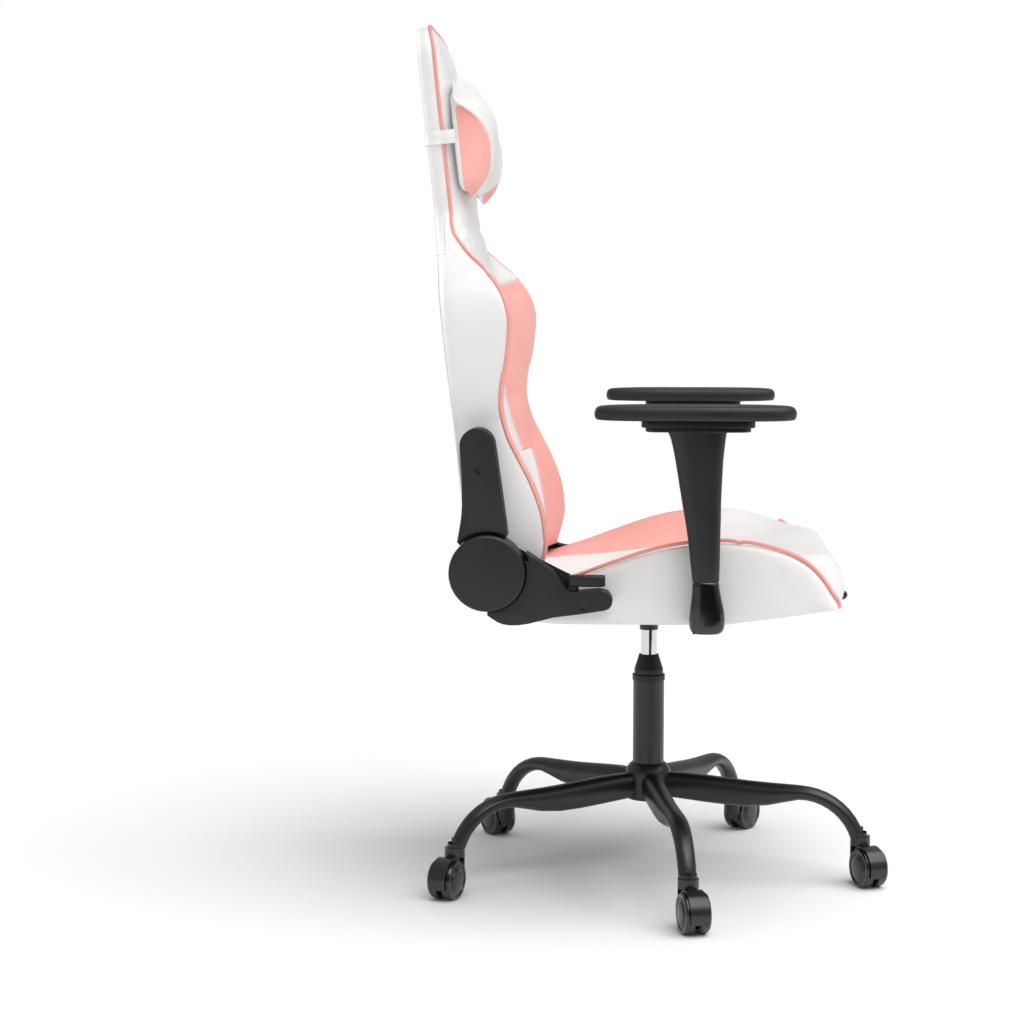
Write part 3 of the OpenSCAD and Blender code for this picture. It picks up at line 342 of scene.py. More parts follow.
def stitchesAlong(name, paths, body, length=4.2, gap=2.6, radius=0.45):
    verts, faces = [], []
    for path, lift in paths:
        marks = evenPath(path, (length + gap) * mm)
        for a, b in zip(marks[:-1], marks[1:]):
            run = (b - a)
            if run.length < 1e-6:
                continue
            run.normalize()
            up = Vector(lift).normalized()
            side = run.cross(up).normalized()
            up = side.cross(run)
            start, end = a + run * gap * 0.5 * mm, b - run * gap * 0.5 * mm
            base = len(verts)
            for t, wide, high in ((0, 0.3, -0.6), (0.25, 1, 0.6), (0.75, 1, 0.6), (1, 0.3, -0.6)):
                centre = start.lerp(end, t)
                for k in range(5):
                    turn = 2 * math.pi * k / 5
                    verts.append(centre + (side * math.cos(turn) * wide
                                           + up * (math.sin(turn) * wide + high)) * radius * mm)
            for ring in range(3):
                for k in range(5):
                    p, q = base + ring * 5 + k, base + ring * 5 + (k + 1) % 5
                    faces.append((p, q, q + 5, p + 5))
            faces.append(tuple(base + k for k in reversed(range(5))))
            faces.append(tuple(base + 15 + k for k in range(5)))
    obj = meshFrom(name, verts, faces)
    recalcNormals(obj)
    return finishPiece(obj, name, body, stitchThread, angle=70)


def softenByCloth(obj, pins, pressure, cap, frames=20, stiff=25):
    start = np.array([v.co for v in obj.data.vertices])
    group = obj.vertex_groups.new(name="pins")
    for index, weight in enumerate(pins):
        if weight > 0:
            group.add([index], float(weight), "REPLACE")
    scene = bpy.context.scene
    scene.frame_set(1)
    mod = obj.modifiers.new("Cloth", "CLOTH")
    mod.settings.quality = 6
    mod.settings.mass = 0.25
    mod.settings.tension_stiffness = stiff
    mod.settings.compression_stiffness = stiff
    mod.settings.shear_stiffness = stiff * 0.5
    mod.settings.bending_stiffness = 0.6
    mod.settings.air_damping = 2
    mod.settings.use_pressure = True
    mod.settings.uniform_pressure_force = pressure
    mod.settings.vertex_group_mass = "pins"
    mod.settings.effector_weights.gravity = 0
    mod.point_cache.frame_start = 1
    mod.point_cache.frame_end = frames
    for step in range(1, frames + 1):
        scene.frame_set(step)
    ready = obj.evaluated_get(bpy.context.evaluated_depsgraph_get())
    moved = np.array([v.co for v in ready.data.vertices])
    shift = moved - start
    size = np.linalg.norm(shift, axis=1, keepdims=True)
    shift *= np.minimum(1, cap * mm / np.maximum(size, 1e-9))
    obj.modifiers.remove(mod)
    obj.vertex_groups.remove(group)
    obj.data.vertices.foreach_set("co", (start + shift).ravel())
    obj.data.update()
    scene.frame_set(1)


backrest = {
    "halfWidth": [(-24, 243), (-14, 246.5), (0, 248), (20, 248.5), (175, 248.5), (192, 252),
                  (240, 262), (300, 267.5), (328, 263), (345, 254), (365, 237), (384, 213), (398, 183),
                  (412, 154), (424, 137), (442, 126), (500, 128), (560, 131.5), (605, 132),
                  (640, 129.5), (655, 123), (664, 113.5), (670, 102), (674.5, 86), (677.5, 66),
                  (679, 42)],
    "wingEdge": [(-24, -53), (-8, -60), (10, -66), (25, -70), (50, -70), (72, -67), (102, -59),
                 (133, -47), (162, -37), (191, -33), (220, -37), (248, -46), (276, -52), (300, -55.5),
                 (328, -51), (349, -40), (363, -30), (380, -14), (397, -1), (413, 9), (428, 12),
                 (580, 12), (640, 12), (668, 15.5), (679, 19.5)],
    "panelFront": [(-24, -40), (-8, -44), (20, -44), (70, -39), (118, -31), (160, -20), (206, -14),
                   (260, -14), (300, -16), (350, -16), (400, -10), (425, -7), (450, -6), (560, -7),
                   (590, -6), (610, -1), (640, 4), (660, 9), (672, 14.5), (679, 20)],
    "rear": [(-24, 20), (-12, 24.5), (8, 26.5), (30, 27), (384, 27), (392, 29), (430, 33), (560, 33),
             (640, 33), (668, 32.5), (679, 30)],
    "panelSeam": 130, "lumbarSeam": [(-24, 157), (9, 158), (117, 170), (130, 172), (679, 172)],
    "stepRow": 118, "wingSeam": 343, "wingSeamRise": 15,
    "pipingRadius": 2.3,
}
stationColumns = [(0, 1, 11), (1, 2, 4), (2, 3, 6), (3, 4, 4), (4, 5, 2), (5, 6, 4), (6, 7, 2),
                  (7, 8, 2), (8, 9, 9)]


def backStations(z):
    half = hermite(backrest["halfWidth"], z)
    edge = hermite(backrest["wingEdge"], z)
    panel = hermite(backrest["panelFront"], z)
    rear = hermite(backrest["rear"], z)
    wing = max(0.0, min(1.0, (420 - z) / 60))          # 1 where the wings are, 0 in the head part
    depth = rear - edge
    soft = min(1, depth / 60)
    seamA = min(backrest["panelSeam"], half * 0.62)
    seamB = min(hermite(backrest["lumbarSeam"], z), half * 0.84)
    crest = half - (8 + 17 * wing)
    top = edge - 3 if wing > 0.5 else panel + (edge - panel) * (0.6 + 0.4 * wing)
    slope = (seamB - 138) / max(crest - 6 - 138, 20)
    if wing > 0.3:
        atB = panel + (top + 3 - panel) * max(0.25, min(0.75, slope))
    else:
        atB = panel + (edge - panel) * 0.22
    return [(0, panel), (seamA, panel + 0.3), (seamB, atB), (crest, top), (half - 2.5, edge),
            (half, edge + min(11, depth * 0.3)), (half - 0.5, rear - min(20, depth * 0.4)),
            (half - 5 * soft, rear - min(5, depth * 0.14)), (half - 20 * soft, rear), (0, rear)]


def catmull(points, u):
    i = min(int(u), len(points) - 2)
    t = u - i
    a, b = np.array(points[max(i - 1, 0)]), np.array(points[i])
    c, d = np.array(points[i + 1]), np.array(points[min(i + 2, len(points) - 1)])
    if i == 0:
        a = np.array((-points[1][0], points[1][1]))
    return 0.5 * ((2 * b) + (c - a) * t + (2 * a - 5 * b + 4 * c - d) * t * t
                  + (3 * b - a - 3 * c + d) * t ** 3)


def backAt(s, z):  # s runs round half a section from the middle of the front to the middle of the rear
    x, y = catmull(backStations(z), min(s, 8.9999))
    return x, y


def backWarp(s, z):  # tilts the rows round the wing seam
    near = math.exp(-((z - backrest["wingSeam"]) / 26) ** 2)
    return (z + backrest["wingSeamRise"] * near * max(0.0, min(1.0, (s - 1) / 3))
            * (1 if s < 4.01 else max(0, 5 - s)))


columnsS = [0.0]
for low, high, count in stationColumns:
    columnsS += [low + (high - low) * (k + 1) / count for k in range(count)]
backRows = (list(np.arange(-24, 112, 8)) + [112, 116, 118, 120, 124] + list(np.arange(132, 330, 8))
            + [334, 340, 343, 346, 352, 360] + list(np.arange(366, 432, 5)) + list(np.arange(438, 656, 8))
            + [660, 665, 669.5, 672.8, 675.3, 677.2, 678.4, 679])
halfCount = len(columnsS)
ringCount = 2 * (halfCount - 1)


def backColumn(k):  # ring index to (side, column)
    return (1, k) if k < halfCount else (-1, ringCount - k)


points, quads, quadMats = [], [], []
for z in backRows:
    for k in range(ringCount):
        side, col = backColumn(k)
        s = columnsS[col]
        zz = backWarp(s, z)
        x, y = backAt(s, zz)
        points.append(backToChair(side * x, y, zz))
for r in range(len(backRows) - 1):
    for k in range(ringCount):
        a, b = r * ringCount + k, r * ringCount + (k + 1) % ringCount
        quads.append((a, b, b + ringCount, a + ringCount))
        sideA, colA = backColumn(k)
        sideB, colB = backColumn((k + 1) % ringCount)
        s = (columnsS[colA] + columnsS[colB]) / 2
        z = (backRows[r] + backRows[r + 1]) / 2
        pink = z < backrest["wingSeam"] and ((s > 1 and z > backrest["stepRow"]) or s > 2) and s < 4
        quadMats.append(1 if pink else 0)
for r in (0, len(backRows) - 1):  # close the foot and the top, front column to rear column
    base = r * ringCount
    for k in range(halfCount // 2):
        quads.append((base + k, base + k + 1, base + halfCount - 2 - k, base + halfCount - 1 - k))
        left = [base + (ringCount - j) % ringCount for j in (k, k + 1, halfCount - 2 - k)]
        left.append(base + ringCount - (halfCount - 1 - k) if halfCount - 1 - k != halfCount - 1
                    else base + halfCount - 1)
        quads.append(tuple(left))
        quadMats += [0, 0]
quads = [tuple(dict.fromkeys(q)) for q in quads]
keep = [i for i, q in enumerate(quads) if len(q) > 2]
backCushion = meshFrom("backCushion", points, [quads[i] for i in keep])
backCushion.data.materials.append(whiteLeather)
backCushion.data.materials.append(pinkLeather)
backCushion.data.polygons.foreach_set("material_index", [quadMats[i] for i in keep])

pins = []
for z in backRows:
    for k in range(ringCount):
        side, col = backColumn(k)
        s = columnsS[col]
        hold = 0.0
        if s > 5.9 or z < -12 or z > 655:
            hold = 1.0
        if abs(s - 4) < 0.2 or abs(s - 1) < 0.01 and z > 110:
            hold = 1.0
        if abs(s - 2) < 0.01 and z < backrest["stepRow"] + 1:
            hold = 1.0
        if abs(z - backrest["wingSeam"]) < 1 and 0.99 < s < 4.1:
            hold = 1.0
        if abs(z - backrest["stepRow"]) < 1 and s < 2.01:
            hold = 1.0
        if 400 < z and s > 2.9:
            hold = max(hold, 0.6)
        pins.append(hold)
recalcNormals(backCushion)
softenByCloth(backCushion, pins, 3.2, 7)


def seamPath(obj, indices, lift):  # points just off the surface at these vertices
    data = obj.data
    return [data.vertices[i].co + data.vertices[i].normal * lift * mm for i in indices]


def sink(obj, indices, depth):  # presses a seam into the padding
    data = obj.data
    moves = {i: data.vertices[i].normal.copy() * depth * mm for i in set(indices)}
    for i, move in moves.items():
        data.vertices[i].co -= move


def backIndex(row, col, side):
    return row * ringCount + (col if side > 0 or col in (0, halfCount - 1) else ringCount - col)


def columnOf(s):
    return min(range(halfCount), key=lambda c: abs(columnsS[c] - s))


def rowOf(z):
    return min(range(len(backRows)), key=lambda r: abs(backRows[r] - z))


colA, colB, colP = columnOf(1), columnOf(2), columnOf(4)
rowStep, rowWing, rowTop = rowOf(118), rowOf(343), len(backRows) - 1
seamsBack = []
for side in (1, -1):
    seamsBack.append([backIndex(r, colA, side) for r in range(rowStep, rowOf(420))])
    seamsBack.append([backIndex(r, colB, side) for r in range(1, rowStep + 1)])
    seamsBack.append([backIndex(rowStep, c, side) for c in range(colA, colB + 1)])
    seamsBack.append([backIndex(rowWing, c, side) for c in range(colA, colP + 1)])
seamsBack.append([backIndex(rowStep, c, -1) for c in range(colA, -1, -1)]
                 + [backIndex(rowStep, c, 1) for c in range(1, colA + 1)])
rowNeck = rowOf(420)
seamsBack.append([backIndex(rowNeck, c, -1) for c in range(colP - 1, -1, -1)]
                 + [backIndex(rowNeck, c, 1) for c in range(1, colP)])
for seam in seamsBack:
    sink(backCushion, seam, 2.2)
backCushion.data.update()

pipingPath = ([backIndex(r, colP, 1) for r in range(1, rowTop)]
              + [backIndex(rowTop, c, 1) for c in range(colP, -1, -1)]
              + [backIndex(rowTop, c, -1) for c in range(1, colP + 1)]
              + [backIndex(r, colP, -1) for r in range(rowTop - 1, 0, -1)])
backPiping = pipeAlong("backPiping", [evenPath(seamPath(backCushion, pipingPath, 0.6), 0.006)],
                       backrest["pipingRadius"] * mm, "backrest", pinkPiping)


def besideSeam(obj, seam, neighbours, share):
    data = obj.data
    return [data.vertices[a].co.lerp(data.vertices[b].co, share) + data.vertices[a].normal * 1.1 * mm
            for a, b in zip(seam, neighbours)]


stitchPaths = []
forward = backToChair(0, -1, 0) - backToChair(0, 0, 0)
for side in (1, -1):
    rows = range(rowStep + 1, rowNeck - 1)
    for away in (-1, 1):
        seam = [backIndex(r, colA, side) for r in rows]
        stitchPaths.append((besideSeam(backCushion, seam, [backIndex(r, colA + away, side) for r in rows],
                                       0.30), forward))
    rows = range(2, rowStep)
    for away in (-1, 1):
        seam = [backIndex(r, colB, side) for r in rows]
        stitchPaths.append((besideSeam(backCushion, seam, [backIndex(r, colB + away, side) for r in rows],
                                       0.32), forward))
    cols = range(colA + 1, colP)
    for away in (-1, 1):
        seam = [backIndex(rowWing, c, side) for c in cols]
        stitchPaths.append((besideSeam(backCushion, seam,
                                       [backIndex(rowWing + away, c, side) for c in cols],
                                       0.85), forward))
backStitches = stitchesAlong("backStitches", stitchPaths, "backrest")
subdivide(backCushion, 1)
finishPiece(backCushion, "backCushion", "backrest", None, ["back_cushion"], 60)

hem = {"z": 386}
hemPath = []
for side in (-1, 1):
    marks = [s for s in np.linspace(9, 5.0, 30)]
    part = [backToChair(side * backAt(s, hem["z"] + 46 * max(0, (6.2 - s) / 1.2))[0],
                        backAt(s, hem["z"] + 46 * max(0, (6.2 - s) / 1.2))[1] + (0.2 if s > 6 else 0),
                        hem["z"] + 46 * max(0, (6.2 - s) / 1.2)) for s in marks]
    hemPath = hemPath + part if side > 0 else list(reversed(part))
rearHem = pipeAlong("rearHem", [evenPath(hemPath, 0.005)], 1.2 * mm, "backrest", whiteLeather)
print("backrest cushion ready")


pillow = {
    "half": [(452, 104), (460, 119), (480, 130), (520, 132), (575, 130), (600, 124), (616, 112)],
    "middle": [(490, -24), (500, -31), (510, -37.5), (522, -42.5), (535, -46), (550, -48), (562, -47),
               (574, -42.5), (586, -35.5), (598, -27), (608, -19), (618, -9)],
    "seamFront": [(452, -20), (462, -29), (474, -36), (490, -41), (508, -44.5), (524, -45), (538, -42),
                  (551, -35.5), (562, -26), (571, -15), (580, -8.5), (618, -7.5)],
    "seamX": [(455, 84), (500, 90), (530, 99), (550, 112), (570, 126), (618, 120)],
    "low": [503, 467, 452, 462], "high": [617, 608, 602, 590],
    "rearGap": 7.6,
}
pillowStations = [(0, 1, 12), (1, 2, 6), (2, 3, 4), (3, 4, 3), (4, 5, 3), (5, 6, 8)]
pillowS = [0.0]
for low, high, count in pillowStations:
    pillowS += [low + (high - low) * (k + 1) / count for k in range(count)]
pillowHalf = len(pillowS)
pillowRing = 2 * (pillowHalf - 1)
pillowRows = list(np.linspace(0, 1, 34))


def pillowAt(s, t):
    key = min(s, 3.0)
    k = min(int(key), 2)
    part = key - k
    part = part * part * (3 - 2 * part)
    low = pillow["low"][k] + (pillow["low"][k + 1] - pillow["low"][k]) * part
    high = pillow["high"][k] + (pillow["high"][k + 1] - pillow["high"][k]) * part
    z = low + (high - low) * t
    half = hermite(pillow["half"], z)
    seamX = min(hermite(pillow["seamX"], z), half - 3)
    seamY = hermite(pillow["seamFront"], z)
    middle = min(hermite(pillow["middle"], z), seamY - 1)
    side = -12.5 if seamY < -16 else min(-8.2, seamY + 1)
    line = [(0, middle), (seamX, seamY), ((seamX + half) / 2 + 4, (seamY * 0.68 + side * 0.32)),
            (half, side + 5), (half - 7, -1.5), (half - 26, -pillow["rearGap"]),
            (0, -pillow["rearGap"])]
    x, y = catmull(line, min(s, 5.9999))
    end = min(t, 1 - t)
    if end < 0.12:                                     # the ends draw together
        pinch = 1 - (1 - end / 0.12) ** 2
        y = -9 + (y + 9) * (0.25 + 0.75 * pinch)
    return x, min(y, -pillow["rearGap"] + 7.4 * max(0, min(1, (x - 104) / 22))), z


points, quads, quadMats, pins = [], [], [], []
for t in pillowRows:
    for k in range(pillowRing):
        side, col = (1, k) if k < pillowHalf else (-1, pillowRing - k)
        s = pillowS[col]
        x, y, z = pillowAt(s, t)
        ruffle = max(0.0, (t - 0.72) / 0.28) * (1 if s < 2.6 else 0)
        y -= 2.6 * ruffle * abs(math.sin(side * x / 8.5 + 0.9 * math.sin(x * 0.11)))
        z += 3.6 * ruffle ** 2 * math.sin(side * x / 6.8 + 1.3 + math.sin(x * 0.07))
        points.append(backToChair(side * x, y, z))
        hold = 1.0 if s > 3.6 or t < 0.05 or t in (pillowRows[0], pillowRows[-1]) else 0.0
        if abs(s - 1) < 0.01:
            hold = 0.8
        pins.append(hold)
for r in range(len(pillowRows) - 1):
    for k in range(pillowRing):
        a, b = r * pillowRing + k, r * pillowRing + (k + 1) % pillowRing
        quads.append((a, b, b + pillowRing, a + pillowRing))
        colK = k if k < pillowHalf else pillowRing - k
        colN = (k + 1) if (k + 1) < pillowHalf else pillowRing - (k + 1)
        s = (pillowS[colK] + pillowS[colN]) / 2
        z = pillowAt(s, (pillowRows[r] + pillowRows[r + 1]) / 2)[2]
        quadMats.append(1 if 1 < s < 3.1 and z < 568 else 0)
for r in (0, len(pillowRows) - 1):
    quads.append(tuple(r * pillowRing + k for k in range(pillowRing)))
    quadMats.append(0)
headPillow = meshFrom("headPillow", points, quads)
headPillow.data.materials.append(whiteLeather)
headPillow.data.materials.append(pinkLeather)
headPillow.data.polygons.foreach_set("material_index", quadMats)
recalcNormals(headPillow)
softenByCloth(headPillow, pins, 4.0, 6)


def pillowIndex(row, col, side):
    return row * pillowRing + (col if side > 0 or col in (0, pillowHalf - 1) else pillowRing - col)


pillowSeamCol = min(range(pillowHalf), key=lambda c: abs(pillowS[c] - 1))
pillowStitch = []
for side in (1, -1):
    seam = [pillowIndex(r, pillowSeamCol, side) for r in range(1, len(pillowRows) - 1)]
    sink(headPillow, seam, 1.6)
    headPillow.data.update()
    for away in (-1, 1):
        pillowStitch.append((besideSeam(headPillow, seam, [pillowIndex(r, pillowSeamCol + away, side)
                                        for r in range(1, len(pillowRows) - 1)], 0.45),
                             forward + Vector((side * 0.6, 0, 0)) * forward.length))
pillowStitches = stitchesAlong("pillowStitches", pillowStitch, "backrest", 3.6, 2.4)
subdivide(headPillow, 1)
finishPiece(headPillow, "headPillow", "backrest", None, ["head_pillow"], 60)

strap = {"low": 525, "width": 17, "thick": 1.3}
outline = []
for s in np.concatenate([np.linspace(3.3, 6.9, 16), np.linspace(7.0, 8.999, 14)]):
    outline.append((backAt(s, 532)[0], backAt(s, 532)[1]))
outline = [(133.4, -4.5), (133.6, 4)] + [(x + 0.9 if y < 28 else x + 0.4, y + (1.2 if y > 28 else 0))
                                         for x, y in outline if y > 14]
outline = outline + [(-x, y) for x, y in reversed(outline)]
strapLine = evenPath([(x, y, 0) for x, y in outline], 4)
points, quads, uvs = [], [], []
across = [0, 0.04, 0.5, 0.96, 1]
for j, at in enumerate(strapLine):
    for a in across:
        z = strap["low"] + strap["width"] * a
        points.append(backToChair(at.x, at.y, z + 1.2 * math.sin(j * 0.05)))
        uvs.append((j * 0.004, strap["width"] * a * mm))
for j in range(len(strapLine) - 1):
    for a in range(len(across) - 1):
        k = j * len(across) + a
        quads.append((k, k + 1, k + 1 + len(across), k + len(across)))
pillowStrap = meshFrom("pillowStrap", points, quads)
layer = pillowStrap.data.uv_layers.new(name="UVMap")
for loop in pillowStrap.data.loops:
    layer.data[loop.index].uv = uvs[loop.vertex_index]
recalcNormals(pillowStrap)
addModifier(pillowStrap, "SOLIDIFY", thickness=strap["thick"] * mm, offset=0)
finishPiece(pillowStrap, "pillowStrap", "backrest", strapElastic, ["pillow_strap"], 40)
print("head pillow ready")

seat = {
    "panel": [(166, 372), (166, 397), (159, 403), (110, 408), (50, 413), (0, 419.5), (-50, 427),
              (-100, 434.5), (-150, 442), (-190, 448), (-213, 448.5), (-224, 445), (-232, 437),
              (-239.5, 424), (-244.5, 408), (-243.5, 394), (-240, 389)],
    "bolster": [(166, 372), (166, 394), (159, 400), (130, 409), (88, 423), (44, 439.5), (-5, 456),
                (-48, 464.5), (-95, 467.5), (-130, 464), (-160, 456.5), (-179, 449), (-196, 438),
                (-211, 422), (-222, 405), (-231, 393), (-230, 387.5)],
    "bottomPanel": [(166, 372), (100, 366.4), (-85, 366.4), (-240, 388.4)],
    "bottomSide": [(166, 372), (100, 366.4), (-85, 366.6), (-120, 371), (-170, 377.6), (-230, 386.5)],
    "seamX": 145, "colourBreakY": -74,
    "pipingRadius": 2.3,
}
topCount = 64


def evenLine(table):  # a smooth side line cut into rows of equal length
    dense = np.array(splinePath(table, 600))
    along = np.concatenate([[0], np.cumsum(np.linalg.norm(np.diff(dense, axis=0), axis=1))])
    marks = np.linspace(0, along[-1], topCount)
    return [np.array((np.interp(m, along, dense[:, 0]), np.interp(m, along, dense[:, 1]))) for m in marks]


panelLine = evenLine(seat["panel"])
bolsterLine = evenLine(seat["bolster"])


def bottomLine(table):
    marks = np.linspace(table[0][0], table[-1][0], topCount)
    flipped = sorted((-y, z) for y, z in table)
    return [np.array((y, hermite(flipped, -y))) for y in marks]


panelUnder = bottomLine(seat["bottomPanel"])
sideUnder = bottomLine(seat["bottomSide"])
seatX = [0, 18, 36, 54, 72, 90, 106, 120, 132, 141, 145, 149, 157, 167, 178, 189, 200, 210, 219, 227, 234,
         239.5, 243, 246.5, 248.8, 250, 250.6, 250.9]
seatInset = [0] * 23 + [2.2, 6.5, 13, 22, 34]


def seatLift(x):  # 0 on the flat middle, 1 on the bolster's ridge
    t = max(0.0, min(1.0, (x - 141) / 102))
    return t ** 1.5


points, quads, quadMats, pins = [], [], [], []
xStations = [-x for x in reversed(seatX[1:])] + seatX
insets = list(reversed(seatInset[1:])) + seatInset
seatRing = 2 * topCount
for x, inset in zip(xStations, insets):
    w = seatLift(abs(x))
    tops, unders = [], []
    for i in range(topCount):
        top = panelLine[i] * (1 - w) + bolsterLine[i] * w
        under = panelUnder[i] * (1 - w) + sideUnder[i] * w
        crown = 3.0 * math.cos(math.pi * abs(x) / 290) if abs(x) < 145 else 0
        top = top + np.array((0, crown * math.sin(math.pi * min(i / (topCount - 1) * 1.1, 1))))
        deep = min(inset, 0.46 * max(top[1] - under[1], 0))
        shift = min(inset * 0.35, 9)
        top = np.array((top[0] + (shift if i > topCount * 0.78 else -shift if i < topCount * 0.13 else 0),
                        top[1] - deep))
        under = np.array((under[0] + (shift if i > topCount * 0.9 else -shift if i < 3 else 0),
                          under[1] + min(deep, inset * 0.6)))
        tops.append((x, *top))
        unders.append((x, *under))
    for i, p in enumerate(tops + list(reversed(unders))):
        points.append(inChair(*p))
        top = i < topCount
        hold = 0.0
        if not top or i < 7 or abs(x) > 250.7:
            hold = 1.0
        if top and (abs(abs(x) - 145) < 0.5 or abs(abs(x) - 243) < 0.5 or i > topCount - 5):
            hold = 1.0
        pins.append(hold)
breakRow = min(range(topCount), key=lambda i: abs(bolsterLine[i][0] - seat["colourBreakY"]))
noseRow = min(range(topCount // 2, topCount), key=lambda i: abs(bolsterLine[i][1] - 416))
for j in range(len(xStations) - 1):
    for i in range(seatRing):
        a, b = j * seatRing + i, j * seatRing + (i + 1) % seatRing
        quads.append((a, b, b + seatRing, a + seatRing))
        x = abs(xStations[j] + xStations[j + 1]) / 2
        under = topCount <= i < seatRing - 1 and x < 243
        pink = 145 < x < 243 and 4 <= i < breakRow
        quadMats.append(2 if under else 1 if pink else 0)
for j in (0, len(xStations) - 1):
    base = j * seatRing
    for i in range(topCount - 1):
        quads.append((base + i, base + i + 1, base + seatRing - 2 - i, base + seatRing - 1 - i))
        quadMats.append(0)
for i in range(len(pins)):
    if i % seatRing == breakRow and 145 < abs(xStations[i // seatRing]) < 243:
        pins[i] = 1.0
    if i % seatRing == noseRow:
        pins[i] = max(pins[i], 0.85)
seatCushion = meshFrom("seatCushion", points, quads)
for mat in (whiteLeather, pinkLeather, underCloth):
    seatCushion.data.materials.append(mat)
seatCushion.data.polygons.foreach_set("material_index", quadMats)
recalcNormals(seatCushion)
softenByCloth(seatCushion, pins, 3.2, 7)


def seatIndex(x, i):
    j = min(range(len(xStations)), key=lambda n: abs(xStations[n] - x))
    return j * seatRing + i


seatSeams = [[seatIndex(side * 145, i) for i in range(5, topCount - 3)] for side in (1, -1)]
for side in (1, -1):
    inner = [n for n in range(len(xStations)) if 145 <= side * xStations[n] <= 243]
    seatSeams.append([n * seatRing + breakRow for n in inner])
seatSeams.append([n * seatRing + noseRow for n in range(len(xStations)) if abs(xStations[n]) < 242])
for seam in seatSeams:
    sink(seatCushion, seam, 2.4)
seatCushion.data.update()
pipingPaths = [evenPath([at + Vector((0, 0, 1.8)) * mm for at in
                         seamPath(seatCushion, [seatIndex(side * 243, i) for i in range(3, topCount - 5)],
                                  1.2)],
                        0.006) for side in (1, -1)]
seatPiping = pipeAlong("seatPiping", pipingPaths, seat["pipingRadius"] * mm, "seat", pinkPiping)
stitchPaths = []
for side in (1, -1):
    for away in (-1, 1):
        j = min(range(len(xStations)), key=lambda n: abs(xStations[n] - side * 145))
        rows = range(6, topCount - 4)
        stitchPaths.append((besideSeam(seatCushion, [j * seatRing + i for i in rows],
                                       [(j + away) * seatRing + i for i in rows], 0.8), (0, 0, 1)))
        inner = [n for n in range(len(xStations)) if 149 <= side * xStations[n] <= 240]
        stitchPaths.append((besideSeam(seatCushion, [n * seatRing + breakRow for n in inner],
                                       [n * seatRing + breakRow + away for n in inner], 0.42), (0, 0, 1)))
cols = [n for n in range(len(xStations)) if abs(xStations[n]) < 240]
for away in (-1, 1):
    stitchPaths.append((besideSeam(seatCushion, [n * seatRing + noseRow for n in cols],
                                   [n * seatRing + noseRow + away for n in cols], 0.42), (0, -1, 1)))
seatStitches = stitchesAlong("seatStitches", stitchPaths, "seat")
subdivide(seatCushion, 1)
finishPiece(seatCushion, "seatCushion", "seat", None, ["seat_cushion"], 60)
print("seat cushion ready")


def ovalRing(count, halfX, halfY, power):
    ring = []
    for k in range(count):
        a = 2 * math.pi * (k + 0.5) / count
        c, s = math.cos(a), math.sin(a)
        r = (abs(c) ** power + abs(s) ** power) ** (-1 / power)
        ring.append((halfX * c * r, halfY * s * r))
    return ring


def sectionsMesh(name, sections):  # each is (centre, across, along, ring), across and along unit vectors
    rings = []
    for centre, across, along, ring in sections:
        rings.append([Vector(centre) * mm + (Vector(across) * u + Vector(along) * v) * mm for u, v in ring])
    count = len(rings[0])
    verts = [p for ring in rings for p in ring]
    faces = []
    for r in range(len(rings) - 1):
        for k in range(count):
            a, b = r * count + k, r * count + (k + 1) % count
            faces.append((a, b, b + count, a + count))
    faces.append(tuple(reversed(range(count))))
    faces.append(tuple((len(rings) - 1) * count + k for k in range(count)))
    obj = meshFrom(name, verts, faces)
    recalcNormals(obj)
    return obj


def plateFromOutline(name, outline, low, high, bevel, segments=4):  # outline in the Y-Z plane, mm
    deselect()
    bpy.ops.mesh.primitive_circle_add(vertices=len(outline), radius=0.01, fill_type="NGON")
    obj = bpy.context.object
    obj.name = name
    for vertex, (y, z) in zip(obj.data.vertices, outline):
        vertex.co = Vector((low, y, z)) * mm
    bpy.ops.object.mode_set(mode="EDIT")
    bpy.ops.mesh.select_all(action="SELECT")
    bpy.ops.mesh.extrude_region_move(TRANSFORM_OT_translate={"value": ((high - low) * mm, 0, 0)})
    bpy.ops.object.mode_set(mode="OBJECT")
    recalcNormals(obj)
    if bevel:
        addModifier(obj, "BEVEL", width=bevel * mm, segments=segments, limit_method="ANGLE",
                    angle_limit=math.radians(50), harden_normals=False)
    return obj


def leaning(obj):  # from the upright backrest's frame to the leaning one
    turn = Matrix.Rotation(-chair["lean"], 4, "X")
    move = Matrix.Translation(Vector((0, chair["hingeY"], chair["hingeZ"])) * mm)
    obj.data.transform(move @ turn)
    return obj


def mirrored(obj, name):  # a copy on the chair's other side, with its own mesh
    twin = obj.copy()
    twin.data = obj.data.copy()
    twin.name = name
    bpy.context.scene.collection.objects.link(twin)
    twin.data.transform(Matrix.Scale(-1, 4, (1, 0, 0)))
    recalcNormals(twin)
    return twin


def boltHole(obj, x, y, z, radius, depth):
    deselect()
    bpy.ops.mesh.primitive_cylinder_add(vertices=32, radius=radius * mm, depth=depth * 2 * mm,
                                        location=Vector((x, y, z)) * mm, rotation=(0, math.pi / 2, 0))
    cutter = bpy.context.object
    bpy.ops.object.transform_apply(location=True, rotation=True, scale=True)
    addModifier(obj, "BOOLEAN", object=cutter, operation="DIFFERENCE", solver="EXACT")
    bpy.data.objects.remove(cutter, do_unlink=True)


